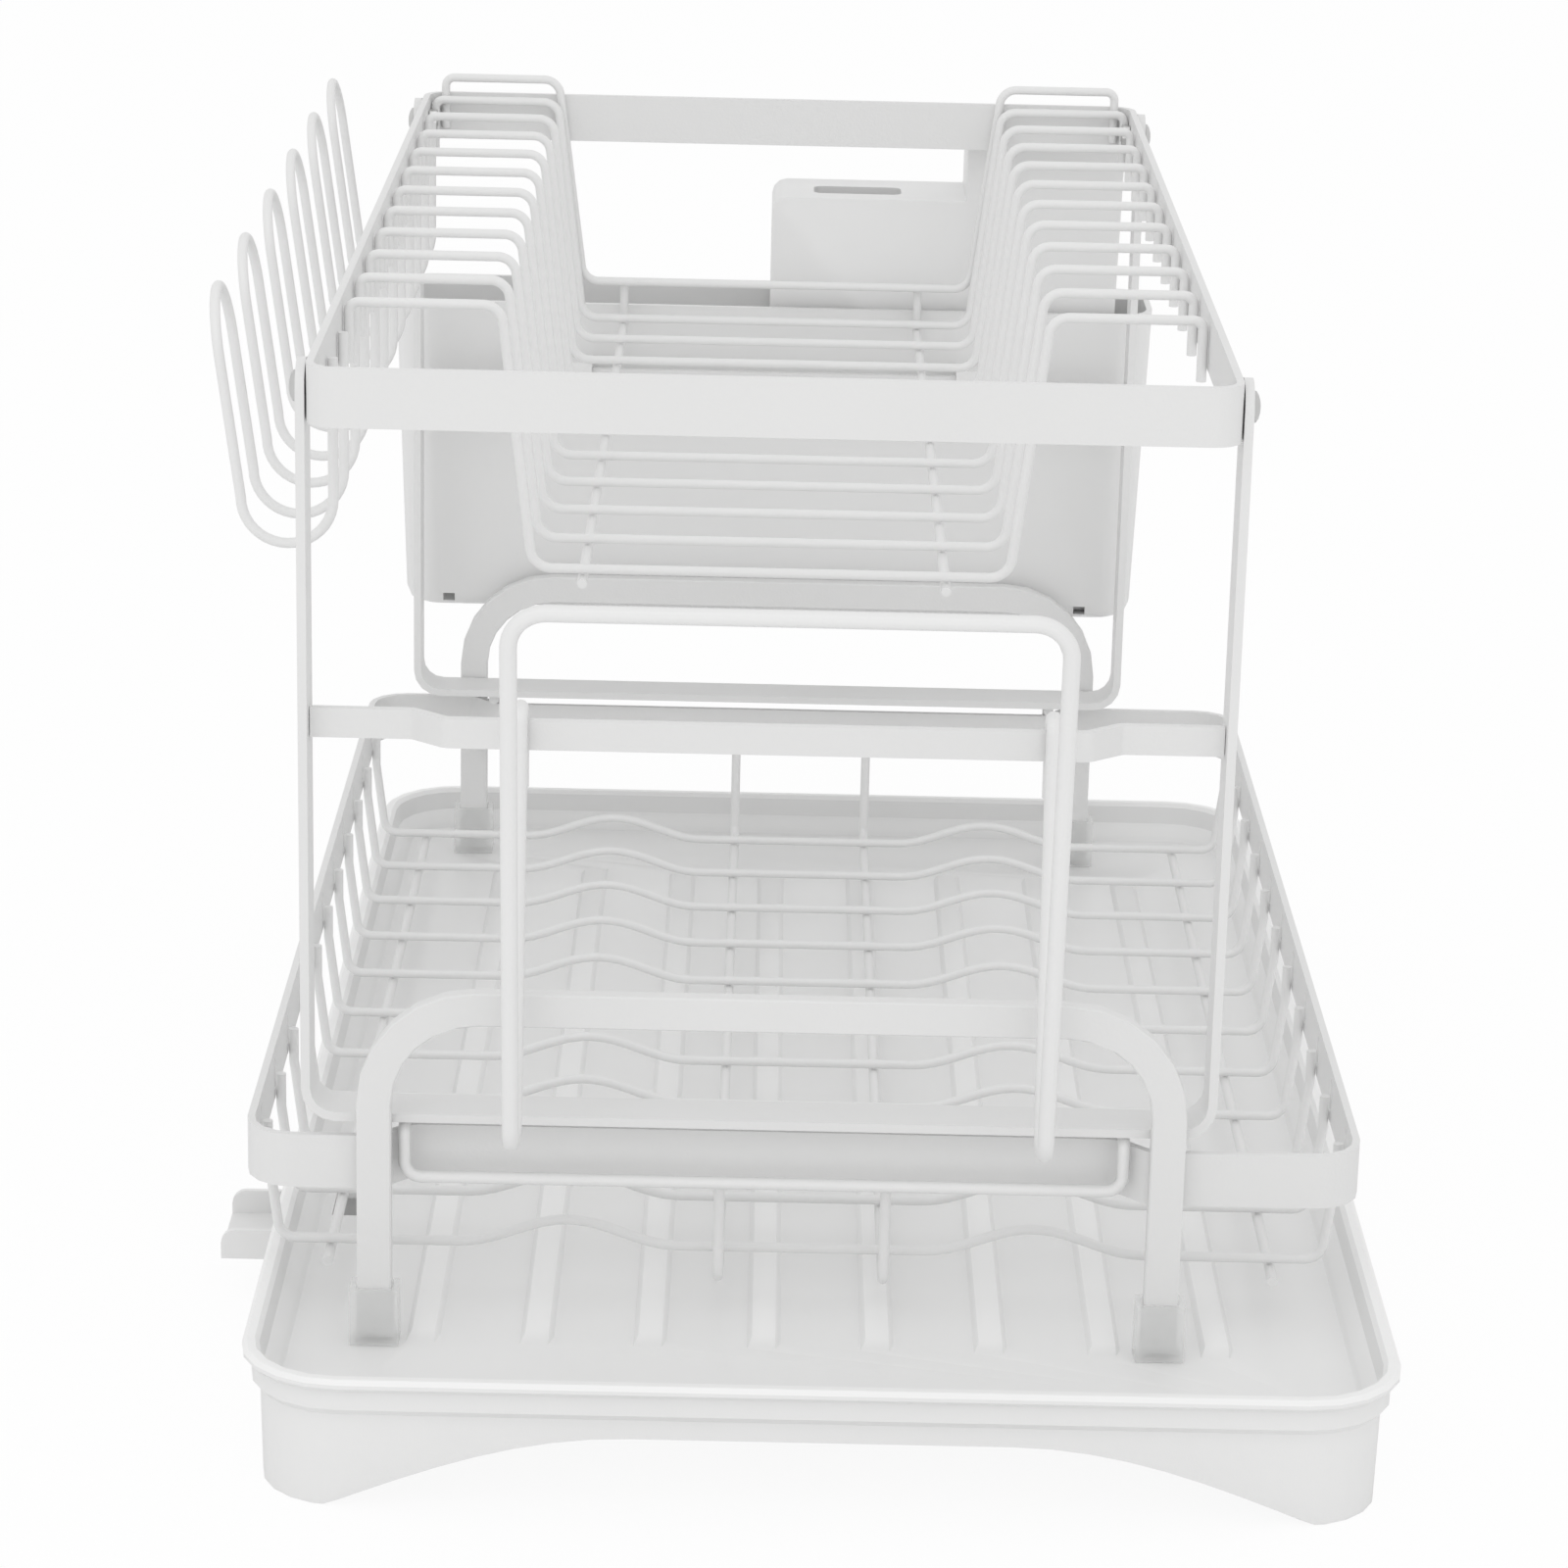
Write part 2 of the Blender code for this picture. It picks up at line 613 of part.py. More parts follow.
def basket_centre_line():
    """The band's path: a rounded rectangle whose two ends step inwards between the arches."""
    half_x = (BASKET_WIDTH - BAND_THICKNESS) / 2
    half_y = (BASKET_LENGTH - BAND_THICKNESS) / 2
    recess_y = half_y - RECESS_DEPTH
    left = CLIP_CENTRE - RECESS_WIDTH / 2
    right = CLIP_CENTRE + RECESS_WIDTH / 2
    corners = [(half_x, -half_y), (half_x, half_y),
               (right + RECESS_SLOPE, half_y), (right, recess_y),
               (left, recess_y), (left - RECESS_SLOPE, half_y),
               (-half_x, half_y), (-half_x, -half_y),
               (left - RECESS_SLOPE, -half_y), (left, -recess_y),
               (right, -recess_y), (right + RECESS_SLOPE, -half_y)]
    small = RECESS_SLOPE / 2
    radii = [BASKET_CORNER, BASKET_CORNER, small, small, small, small,
             BASKET_CORNER, BASKET_CORNER, small, small, small, small]
    return rounded_path([(x, y, 0) for x, y in corners], radii, closed=True)


def cross_positions():
    return [(index - (CROSS_COUNT - 1) / 2) * CROSS_PITCH for index in range(CROSS_COUNT)]


def build_basket_band():
    basket = band("basket_band", basket_centre_line(), BAND_HEIGHT, BASKET_BAND_BOTTOM, POWDER_WHITE)
    middle = BASKET_BAND_BOTTOM + BAND_HEIGHT / 2
    slots = []
    for y in cross_positions():
        for side in (-1, 1):
            near = side * (BASKET_WIDTH / 2 - BAND_THICKNESS - CUT_OVERRUN)
            far = side * (BASKET_WIDTH / 2 + CUT_OVERRUN)
            slots.append(box_cutter("slot", (min(near, far), y - SLOT_WIDTH / 2, middle - SLOT_HEIGHT / 2),
                                    (max(near, far), y + SLOT_WIDTH / 2, middle + SLOT_HEIGHT / 2)))
    combine(basket, add_cutter("wire_slots", joined_mesh("wire_slots", slots)), "DIFFERENCE")


def cross_wire_points():
    """A basket wire: down from the band, in to the floor, and over two low humps."""
    top = BASKET_BAND_BOTTOM + BAND_HEIGHT / 2
    half = rounded_path([
        (-CROSS_END_X, 0, top),
        (-CROSS_END_X, 0, CROSS_SHOULDER_HEIGHT),
        (-CROSS_FLOOR_HALF, 0, CROSS_FLOOR),
        (-HUMP_CENTRE - HUMP_HALF, 0, CROSS_FLOOR),
    ], CROSS_BEND, steps=WIRE_BEND_STEPS)
    for step in range(1, HUMP_STEPS + 1):
        angle = 2 * math.pi * step / HUMP_STEPS
        half.append(Vector((-HUMP_CENTRE + HUMP_HALF * (2 * step / HUMP_STEPS - 1), 0,
                            CROSS_FLOOR + HUMP_RISE * (1 - math.cos(angle)) / 2)))
    return mirrored(half)


def build_basket_wires():
    points = cross_wire_points()
    for index, y in enumerate(cross_positions()):
        piece = wire("cross_wire_%02d" % (index + 1), points, WIRE, POWDER_WHITE, rack)
        piece.location = (0, y, 0)
    riser_y = BASKET_END_INNER - GAP - LONG_WIRE / 2
    riser_top = BASKET_BAND_BOTTOM + BAND_HEIGHT / 2
    corners = [(0, -riser_y, riser_top), (0, -riser_y, LONG_WIRE_Z), (0, 0, LONG_WIRE_Z)]
    inner = mirrored(rounded_path(corners, LONG_BEND)[:-1], axis=1)
    outer = [Vector((0, -LONG_OUTER_END, LONG_WIRE_Z)), Vector((0, LONG_OUTER_END, LONG_WIRE_Z))]
    rows = (("long_wire_inner_left", inner, -LONG_INNER_HALF),
            ("long_wire_inner_right", inner, LONG_INNER_HALF),
            ("long_wire_outer_left", outer, -LONG_OUTER_HALF),
            ("long_wire_outer_right", outer, LONG_OUTER_HALF))
    for name, points, x in rows:
        piece = wire(name, points, LONG_WIRE, POWDER_WHITE, rack)
        piece.location = (x, 0, 0)


def build_arch(name, side):
    """A flat bar bent into a low arch that carries one end of the basket."""
    foot = TRAY_FLOOR + GAP + CAP_FLOOR + GAP
    half = (ARCH_WIDTH - ARCH_BAR) / 2
    top = ARCH_TOP - ARCH_BAR / 2
    path = rounded_path([(-half, foot, 0), (-half, top, 0), (half, top, 0), (half, foot, 0)],
                        ARCH_CORNER - ARCH_BAR / 2, steps=ARCH_STEPS)
    outline = offset_path(path, ARCH_BAR / 2) + list(reversed(offset_path(path, -ARCH_BAR / 2)))
    arch = add_object(name, flat_curve(name, [outline], ARCH_DEPTH), POWDER_WHITE, rack)
    arch.location = (ARCH_CENTRE, side * ARCH_Y, 0)
    arch.rotation_euler = (math.pi / 2, 0, 0)
    arch = curve_to_mesh(arch)
    rounding = arch.modifiers.new("rounding", "BEVEL")
    rounding.width = EDGE_BEVEL
    rounding.segments = 1
    rounding.limit_method = "ANGLE"
    rounding.angle_limit = math.pi / 3


def build_cap(name, side_x, side_y):
    """A clear foot cap: a short open box round the arch's end."""
    inner_x = ARCH_BAR / 2 + GAP
    inner_y = ARCH_DEPTH / 2 + GAP
    leg_x = ARCH_CENTRE + side_x * (ARCH_WIDTH - ARCH_BAR) / 2
    outer_x = inner_x + CAP_WALL
    outer_y = inner_y + CAP_WALL
    body = box_cutter(name, (-outer_x, -outer_y, 0), (outer_x, outer_y, CAP_HEIGHT))
    cap = add_object(name, body, CLEAR_PLASTIC, rack)
    cap.location = (leg_x, side_y * ARCH_Y, TRAY_FLOOR + GAP)
    pocket = box_cutter(name + "_pocket",
                        (leg_x - inner_x, side_y * ARCH_Y - inner_y, TRAY_FLOOR + GAP + CAP_FLOOR),
                        (leg_x + inner_x, side_y * ARCH_Y + inner_y,
                         TRAY_FLOOR + GAP + CAP_HEIGHT + CUT_OVERRUN))
    combine(cap, add_cutter(name + "_pocket", pocket), "DIFFERENCE")


def build_stands():
    for end, side_y in (("near", -1), ("far", 1)):
        build_arch("leg_arch_" + end, side_y)
        for hand, side_x in (("left", -1), ("right", 1)):
            build_cap("foot_cap_%s_%s" % (end, hand), side_x, side_y)


# Upper tier
def screw_axis(side_x, side_y):
    """Where a pivot screw passes through the side band, at the band's outer face."""
    return (TIER_CENTRE + side_x * TIER_WIDTH / 2, side_y * STRIP_Y, PIVOT_Z)


def hole_cutter(name):
    """Four round holes across the side bands and uprights, on the pivot axes."""
    holes = []
    for side_x in (-1, 1):
        for side_y in (-1, 1):
            mesh = bpy.data.meshes.new("hole")
            work = bmesh.new()
            depth = 2 * (STRIP_THICKNESS + BAND_THICKNESS + GAP)
            bmesh.ops.create_cone(work, cap_ends=True, segments=ROUND_SIDES, radius1=SCREW_HOLE / 2,
                                  radius2=SCREW_HOLE / 2, depth=depth)
            for vert in work.verts:
                vert.co = (vert.co.z, vert.co.y, -vert.co.x)
            bmesh.ops.translate(work, vec=screw_axis(side_x, side_y), verts=work.verts)
            work.to_mesh(mesh)
            work.free()
            holes.append(mesh)
    return add_cutter(name, joined_mesh(name, holes))


def turned_mesh(name, profile, side_x):
    """A profile of (radius, distance outwards) turned about the X axis."""
    sections = []
    for radius, outwards in profile:
        sections.append([(side_x * outwards,
                          radius * math.cos(2 * math.pi * step / ROUND_SIDES),
                          radius * math.sin(2 * math.pi * step / ROUND_SIDES))
                         for step in range(ROUND_SIDES)])
    return lofted_shell(name, sections)


def nut_mesh(name, middle):
    """A thin hexagonal nut about the X axis."""
    mesh = bpy.data.meshes.new(name)
    work = bmesh.new()
    bmesh.ops.create_cone(work, cap_ends=True, segments=6, radius1=NUT_WIDTH / math.sqrt(3),
                          radius2=NUT_WIDTH / math.sqrt(3), depth=NUT_THICKNESS)
    for vert in work.verts:
        vert.co = (vert.co.z + middle[0], vert.co.y + middle[1], -vert.co.x + middle[2])
    work.to_mesh(mesh)
    work.free()
    return mesh


def build_screws():
    """Dome-headed pivot screws through uprights and side bands, each with its thin nut inside."""
    seat = GAP + STRIP_THICKNESS + GAP
    inside = -(BAND_THICKNESS + GAP)
    end = inside - NUT_THICKNESS - EDGE_BEVEL
    shank = SCREW_SHANK / 2
    head = SCREW_HEAD / 2
    profile = [(shank, end), (shank, seat), (head, seat)]
    for step in range(1, BEND_STEPS):
        angle = math.pi / 2 * step / BEND_STEPS
        profile.append((head * math.cos(angle), seat + SCREW_HEAD_RISE * math.sin(angle)))
    for hand, side_x in (("left", -1), ("right", 1)):
        for end_name, side_y in (("near", -1), ("far", 1)):
            name = "pivot_screw_%s_%s" % (end_name, hand)
            place = screw_axis(side_x, side_y)
            screw = add_object(name, turned_mesh(name, profile, side_x), SCREW_STEEL, rack)
            screw.location = place
            middle = (place[0] + side_x * (inside - NUT_THICKNESS / 2), place[1], place[2])
            combine(screw, add_cutter(name + "_nut", nut_mesh(name + "_nut", middle)), "UNION")


def build_upper_band():
    line = [point + Vector((TIER_CENTRE, 0, 0))
            for point in rounded_rectangle(TIER_WIDTH - BAND_THICKNESS, TIER_LENGTH - BAND_THICKNESS,
                                           TIER_CORNER)]
    upper = band("upper_band", line, TIER_BAND_HEIGHT, TIER_BOTTOM, POWDER_WHITE)
    combine(upper, hole_cutter("band_holes"), "DIFFERENCE")


def dish_wire_points(end_x, floor):
    """A dish wire: up beside the band, in along a level shoulder, down a leaning leg and across."""
    shoulder = TIER_TOP - WIRE / 2 - GAP
    half = rounded_path([
        (-end_x, 0, TIER_BOTTOM - DISH_LEG_TAIL),
        (-end_x, 0, shoulder),
        (-DISH_SHOULDER_HALF, 0, shoulder),
        (-DISH_FLOOR_HALF, 0, floor),
        (0, 0, floor),
    ], [0, WIRE, DISH_SHOULDER_BEND, DISH_FLOOR_BEND, 0], steps=WIRE_BEND_STEPS)
    return mirrored(half[:-1])


def build_dish_wires():
    rows = [(DISH_FIRST_Y + index * DISH_PITCH, 0.0, DISH_END_X, DISH_FLOOR) for index in range(DISH_COUNT)]
    rows.append((DISH_RAISED_Y, DISH_RAISE, DISH_RAISED_END_X, DISH_FLOOR + DISH_RAISED_FLOOR_RISE))
    for index, (y, rise, end_x, floor) in enumerate(rows):
        points = dish_wire_points(end_x, floor)
        piece = wire("dish_wire_%02d" % (index + 1), points, WIRE, POWDER_WHITE, rack)
        piece.location = (TIER_CENTRE, y, rise)


def build_runners():
    """Two wires under the dish wires; their far ends turn up behind the raised one."""
    path = rounded_path([
        (0, DISH_FIRST_Y - RUNNER_NEAR_OVERHANG, RUNNER_Z),
        (0, RUNNER_FAR_Y, RUNNER_Z),
        (0, RUNNER_FAR_Y, RUNNER_Z + RUNNER_RISE),
    ], RUNNER_BEND)
    for name, share in zip(("runner_left", "runner_right"), RUNNER_SHARES):
        piece = wire(name, path, WIRE, POWDER_WHITE, rack)
        piece.location = (TIER_CENTRE + share * TIER_WIDTH, 0, 0)


def build_leg_frame(name, side):
    """A flat strip bent into a U, whose rounded ends turn on the pivot screws."""
    half = STRIP_OUTER_HALF - STRIP_THICKNESS / 2
    bottom = STRIP_BOTTOM + STRIP_THICKNESS / 2
    path = rounded_path([(-half, STRIP_TOP, 0), (-half, bottom, 0), (half, bottom, 0), (half, STRIP_TOP, 0)],
                        STRIP_CORNER)
    thick = STRIP_THICKNESS / 2
    outline = offset_path(path, thick) + list(reversed(offset_path(path, -thick)))
    frame = add_object(name, flat_curve(name, [outline], STRIP_WIDTH), POWDER_WHITE, rack)
    frame.location = (TIER_CENTRE, side * STRIP_Y, 0)
    frame.rotation_euler = (math.pi / 2, 0, 0)
    frame = curve_to_mesh(frame)
    work = bmesh.new()
    work.from_mesh(frame.data)
    across = [edge for edge in work.edges
              if all(vert.co.y > STRIP_TOP - WELD_TOLERANCE for vert in edge.verts)
              and abs(edge.verts[0].co.z - edge.verts[1].co.z) < WELD_TOLERANCE]
    bmesh.ops.bevel(work, geom=across, offset=STRIP_WIDTH / 2 - EDGE_BEVEL, segments=BEND_STEPS,
                    profile=0.5, affect="EDGES")
    work.to_mesh(frame.data)
    work.free()
    combine(frame, hole_cutter(name + "_holes"), "DIFFERENCE")


def build_crossbar(name, side):
    """A flat bar on edge between the uprights, jogged outwards in its middle."""
    end = STRIP_OUTER_HALF - STRIP_THICKNESS - GAP
    out = CROSSBAR_JOG_SHARE * TIER_WIDTH
    path = rounded_path([
        (-end, CROSSBAR_Y, 0), (-out, CROSSBAR_Y, 0), (-out + CROSSBAR_JOG_SLOPE, CROSSBAR_OUT_Y, 0),
        (out - CROSSBAR_JOG_SLOPE, CROSSBAR_OUT_Y, 0), (out, CROSSBAR_Y, 0), (end, CROSSBAR_Y, 0),
    ], CROSSBAR_JOG / 2, steps=3)
    thick = CROSSBAR_THICKNESS / 2
    outline = offset_path(path, thick) + list(reversed(offset_path(path, -thick)))
    bar = add_object(name, flat_curve(name, [outline], CROSSBAR_HEIGHT), POWDER_WHITE, rack)
    bar.location = (TIER_CENTRE, 0, CROSSBAR_BOTTOM + CROSSBAR_HEIGHT / 2)
    bar.rotation_euler = (0, 0, math.pi if side < 0 else 0)
    curve_to_mesh(bar)


def build_clip_loop(name, side):
    """A wire loop whose ends lie under the strip; it hangs outside the basket's recessed end band."""
    half = CLIP_WIDTH / 2
    inwards = -side * CLIP_TAIL
    low = CLIP_TAIL_Z - CLIP_DROP
    path = rounded_path([(-half, inwards, CLIP_TAIL_Z), (-half, 0, CLIP_TAIL_Z), (-half, 0, low),
                         (half, 0, low), (half, 0, CLIP_TAIL_Z), (half, inwards, CLIP_TAIL_Z)],
                        [0, CLIP_WIRE, CLIP_BEND, CLIP_BEND, CLIP_WIRE, 0])
    loop = wire(name, path, CLIP_WIRE, POWDER_WHITE, rack)
    loop.location = (CLIP_CENTRE, side * CLIP_Y, 0)


def build_leg_frames():
    for end, side in (("near", -1), ("far", 1)):
        build_leg_frame("leg_frame_" + end, side)
        build_crossbar("crossbar_" + end, side)
        build_clip_loop("clip_loop_" + end, side)


# Accessories
def build_board_holder():
    """One rod: two hooks over the near crossbar, two U-shaped prongs and the bar that joins them."""
    rod = HOLDER_WIRE / 2
    inner_y = -CROSSBAR_OUT_Y + CROSSBAR_THICKNESS / 2 + HOLDER_HOOK_CLEAR + rod
    outer_y = -CROSSBAR_OUT_Y - CROSSBAR_THICKNESS / 2 - HOLDER_HOOK_CLEAR - rod
    hook_top = CROSSBAR_TOP + GAP + rod
    drop = HOLDER_HOOK_BEND + CROSSBAR_HEIGHT
    front_y = HOLDER_BACK_Y - HOLDER_U_WIDTH
    left, right = HOLDER_X
    half_u = HOLDER_U_WIDTH / 2
    middle = (left + right) / 2
    corners = [
        (left - middle, inner_y, hook_top - HOLDER_TAIL),
        (left - middle, inner_y, hook_top),
        (left - middle, outer_y, hook_top),
        (left - middle, outer_y, hook_top - drop),
        (left - middle, HOLDER_BACK_Y, HOLDER_BACK_Z - half_u),
        (left - middle, front_y, HOLDER_BACK_Z - half_u),
        (left - middle, HOLDER_TOP_Y, HOLDER_TOP_Z),
        (0, HOLDER_TOP_Y, HOLDER_TOP_Z),
    ]
    radii = [0, HOLDER_HOOK_BEND, HOLDER_HOOK_BEND, HOLDER_HOOK_BEND,
             half_u - GAP, half_u - GAP, HOLDER_BAR_BEND, 0]
    half = rounded_path(corners, radii, steps=WIRE_BEND_STEPS)
    holder = wire("board_holder", mirrored(half[:-1]), HOLDER_WIRE, POWDER_WHITE, rack)
    holder.location = (middle, 0, 0)


def cup_hook_points():
    """A hairpin: two legs welded inside the band, swept down and out, joined by a round top."""
    attach_x = -DISH_END_X
    arc_x = attach_x - HOOK_ARC
    half = [Vector((attach_x, 0, TIER_BOTTOM + HOOK_LEG_RISE)), Vector((attach_x, 0, TIER_BOTTOM))]
    for step in range(BEND_STEPS + 1):
        angle = -math.pi * step / BEND_STEPS
        half.append(Vector((arc_x + HOOK_ARC * math.cos(angle), 0,
                            HOOK_ARC_CENTRE_Z + HOOK_ARC * math.sin(angle))))
    radius = HOOK_HAIRPIN / 2
    lean = (arc_x - HOOK_ARC, HOOK_ARC_CENTRE_Z)
    top = (-TIER_WIDTH / 2 - HOOK_TOP_REACH, HOOK_TOP_Z)
    straight_z = HOOK_TOP_Z - radius
    share = (straight_z - lean[1]) / (top[1] - lean[1])
    straight_x = lean[0] + (top[0] - lean[0]) * share
    for step in range(BEND_STEPS):
        angle = math.pi / 2 * step / BEND_STEPS
        reach = math.sin(angle)
        half.append(Vector((straight_x + (top[0] - straight_x) * reach, radius * (1 - math.cos(angle)),
                            straight_z + (top[1] - straight_z) * reach)))
    half.append(Vector((top[0], radius, top[1])))
    centred = [point - Vector((0, radius, 0)) for point in half]
    full = mirrored(centred[:-1], axis=1)
    full.insert(len(centred) - 1, centred[-1])
    return full


def build_cup_hooks():
    points = cup_hook_points()
    for index in range(HOOK_COUNT):
        piece = wire("cup_hook_%d" % (index + 1), points, WIRE, POWDER_WHITE, rack)
        piece.location = (TIER_CENTRE, HOOK_FIRST_Y + HOOK_HAIRPIN / 2 + 2 * index * DISH_PITCH, 0)


def box_ring(inset, draft, height):
    """A rounded rectangle round the utensil box, drawn in by an inset and narrowed by the draft."""
    width = BOX_RIGHT - BOX_LEFT - 2 * draft
    return ring(width, BOX_DEPTH, BOX_CORNER, inset, height,
                (BOX_LEFT + BOX_RIGHT) / 2, BOX_NEAR_Y + BOX_DEPTH / 2)


def build_utensil_box():
    """A deep open box with a rounded foot, drain notches and two moulded hooks for the far crossbar."""
    low = BOX_BOTTOM + BOX_BOTTOM_ROUND
    inner_floor = BOX_BOTTOM + BOX_WALL
    sections = [
        box_ring(BOX_BOTTOM_ROUND, BOX_DRAFT, BOX_BOTTOM),
        box_ring(BOX_BOTTOM_ROUND * (1 - math.sin(math.pi / 4)), BOX_DRAFT,
                 low - BOX_BOTTOM_ROUND * math.sin(math.pi / 4)),
        box_ring(0, BOX_DRAFT, low),
        box_ring(0, 0, BOX_TOP),
        box_ring(BOX_WALL, 0, BOX_TOP),
        box_ring(BOX_WALL, BOX_DRAFT, low),
        box_ring(BOX_BOTTOM_ROUND, BOX_DRAFT, inner_floor),
    ]
    body = add_object("utensil_box", lofted_shell("utensil_box", sections), PLASTIC_WHITE, rack)

    notches = []
    for x in BOX_NOTCH_X:
        notches.append(box_cutter("notch",
                                  (x - BOX_NOTCH_WIDTH / 2, BOX_NEAR_Y - CUT_OVERRUN, inner_floor),
                                  (x + BOX_NOTCH_WIDTH / 2, BOX_NEAR_Y + BOX_BOTTOM_ROUND + BOX_WALL,
                                   inner_floor + BOX_NOTCH_HEIGHT)))
    combine(body, add_cutter("box_notches", joined_mesh("box_notches", notches)), "DIFFERENCE")

    arm_bottom = CROSSBAR_TOP + GAP
    arm_top = arm_bottom + BOX_HOOK_THICKNESS
    bar_outer = CROSSBAR_OUT_Y + CROSSBAR_THICKNESS / 2
    bar_inner = CROSSBAR_OUT_Y - CROSSBAR_THICKNESS / 2
    lip_outer = bar_inner - BOX_HOOK_CLEAR
    for index, side in enumerate((-1, 1)):
        x = TIER_CENTRE + side * BOX_HOOK_SHARE * TIER_WIDTH
        low_x = x - BOX_HOOK_WIDTH / 2
        high_x = x + BOX_HOOK_WIDTH / 2
        arm = box_cutter("hook_arm", (low_x, lip_outer - BOX_HOOK_THICKNESS, arm_bottom),
                         (high_x, BOX_NEAR_Y + BOX_WALL / 2, arm_top))
        lip = box_cutter("hook_lip", (low_x, lip_outer - BOX_HOOK_THICKNESS, arm_bottom - BOX_HOOK_LIP),
                         (high_x, lip_outer, arm_top - BOX_HOOK_THICKNESS / 2))
        pad = box_cutter("hook_pad", (low_x, bar_outer + BOX_HOOK_CLEAR, CROSSBAR_BOTTOM),
                         (high_x, BOX_NEAR_Y + BOX_WALL / 2, arm_top - BOX_HOOK_THICKNESS / 2))
        for part, mesh in (("arm", arm), ("lip", lip), ("pad", pad)):
            combine(body, add_cutter("box_hook_%s_%d" % (part, index + 1), mesh), "UNION")


def build_knife_block():
    """A stepped block standing in the box, with a long slot in its lower top."""
    near = BOX_NEAR_Y + BOX_BOTTOM_ROUND + GAP
    bottom = BOX_BOTTOM + BOX_WALL + GAP
    outline = rounded_path([
        (BLOCK_LEFT, bottom, 0), (BLOCK_RIGHT - BOX_DRAFT, bottom, 0), (BLOCK_RIGHT, BLOCK_HIGH_TOP, 0),
        (BLOCK_STEP_X, BLOCK_HIGH_TOP, 0), (BLOCK_STEP_X, BLOCK_LOW_TOP, 0), (BLOCK_LEFT, BLOCK_LOW_TOP, 0),
    ], [0, BLOCK_ROUND, BLOCK_ROUND, BLOCK_ROUND, 0, BLOCK_ROUND], steps=3, closed=True)
    block = add_object("knife_block", flat_curve("knife_block", [outline], BLOCK_DEPTH), PLASTIC_WHITE, rack)
    block.location = (0, near + BLOCK_DEPTH / 2, 0)
    block.rotation_euler = (math.pi / 2, 0, 0)
    block = curve_to_mesh(block)
    rounding = block.modifiers.new("rounding", "BEVEL")
    rounding.width = BLOCK_EDGE
    rounding.segments = 2
    rounding.limit_method = "ANGLE"
    rounding.angle_limit = math.pi / 3
    left, right = KNIFE_SLOT_X
    slot_y = near + KNIFE_SLOT_SETBACK
    sections = [ring(right - left, KNIFE_SLOT_WIDTH, KNIFE_SLOT_ROUND, 0, height, (left + right) / 2, slot_y)
                for height in (BLOCK_LOW_TOP - KNIFE_SLOT_DEPTH, BLOCK_LOW_TOP + CUT_OVERRUN)]
    combine(block, add_cutter("knife_slot", lofted_shell("knife_slot", sections)), "DIFFERENCE")


def shade_pieces():
    """Smooth shading on the flat bars and moulded pieces, with their true edges kept sharp."""
    for piece in rack_collection.objects:
        if piece.type == "MESH":
            piece.data.shade_smooth()
            piece.data.set_sharp_from_angle(angle=math.pi / 6)


clear_scene()
rack_collection = new_collection("dish_rack")
cutter_collection = new_collection("cutters")
rack = bpy.data.objects.new("rack", None)
rack_collection.objects.link(rack)
rack.location = (RACK_X, RACK_Y, 0)
bpy.context.view_layer.update()

build_tray()
build_spout()
build_basket_band()
build_basket_wires()
build_stands()
build_upper_band()
build_dish_wires()
build_runners()
build_leg_frames()
build_screws()
build_board_holder()
build_cup_hooks()
build_utensil_box()
build_knife_block()
shade_pieces()
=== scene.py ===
"""A two-tier dish rack of white coated steel and moulded plastic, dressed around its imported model."""
import json
import math

import bpy
from mathutils import Matrix, Vector


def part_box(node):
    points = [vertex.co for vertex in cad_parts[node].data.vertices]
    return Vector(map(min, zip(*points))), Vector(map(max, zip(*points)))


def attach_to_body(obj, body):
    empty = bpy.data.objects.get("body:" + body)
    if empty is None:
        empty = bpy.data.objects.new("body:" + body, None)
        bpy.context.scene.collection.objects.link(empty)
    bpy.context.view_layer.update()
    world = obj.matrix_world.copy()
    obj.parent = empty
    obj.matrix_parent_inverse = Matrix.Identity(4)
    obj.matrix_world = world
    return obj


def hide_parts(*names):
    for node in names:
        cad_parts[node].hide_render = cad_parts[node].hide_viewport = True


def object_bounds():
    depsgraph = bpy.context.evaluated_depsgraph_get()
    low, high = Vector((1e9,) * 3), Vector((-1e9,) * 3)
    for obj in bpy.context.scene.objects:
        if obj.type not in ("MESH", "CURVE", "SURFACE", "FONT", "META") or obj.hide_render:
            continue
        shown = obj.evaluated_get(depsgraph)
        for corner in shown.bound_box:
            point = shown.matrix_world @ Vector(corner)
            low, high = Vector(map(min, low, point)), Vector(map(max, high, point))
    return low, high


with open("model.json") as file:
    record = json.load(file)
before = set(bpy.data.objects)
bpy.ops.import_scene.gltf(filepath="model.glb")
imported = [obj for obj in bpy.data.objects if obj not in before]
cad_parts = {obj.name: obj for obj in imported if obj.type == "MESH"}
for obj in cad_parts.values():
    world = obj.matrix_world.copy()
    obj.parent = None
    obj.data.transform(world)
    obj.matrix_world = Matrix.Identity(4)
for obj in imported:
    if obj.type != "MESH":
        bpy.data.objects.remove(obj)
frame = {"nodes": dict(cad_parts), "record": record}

MODEL_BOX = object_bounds()

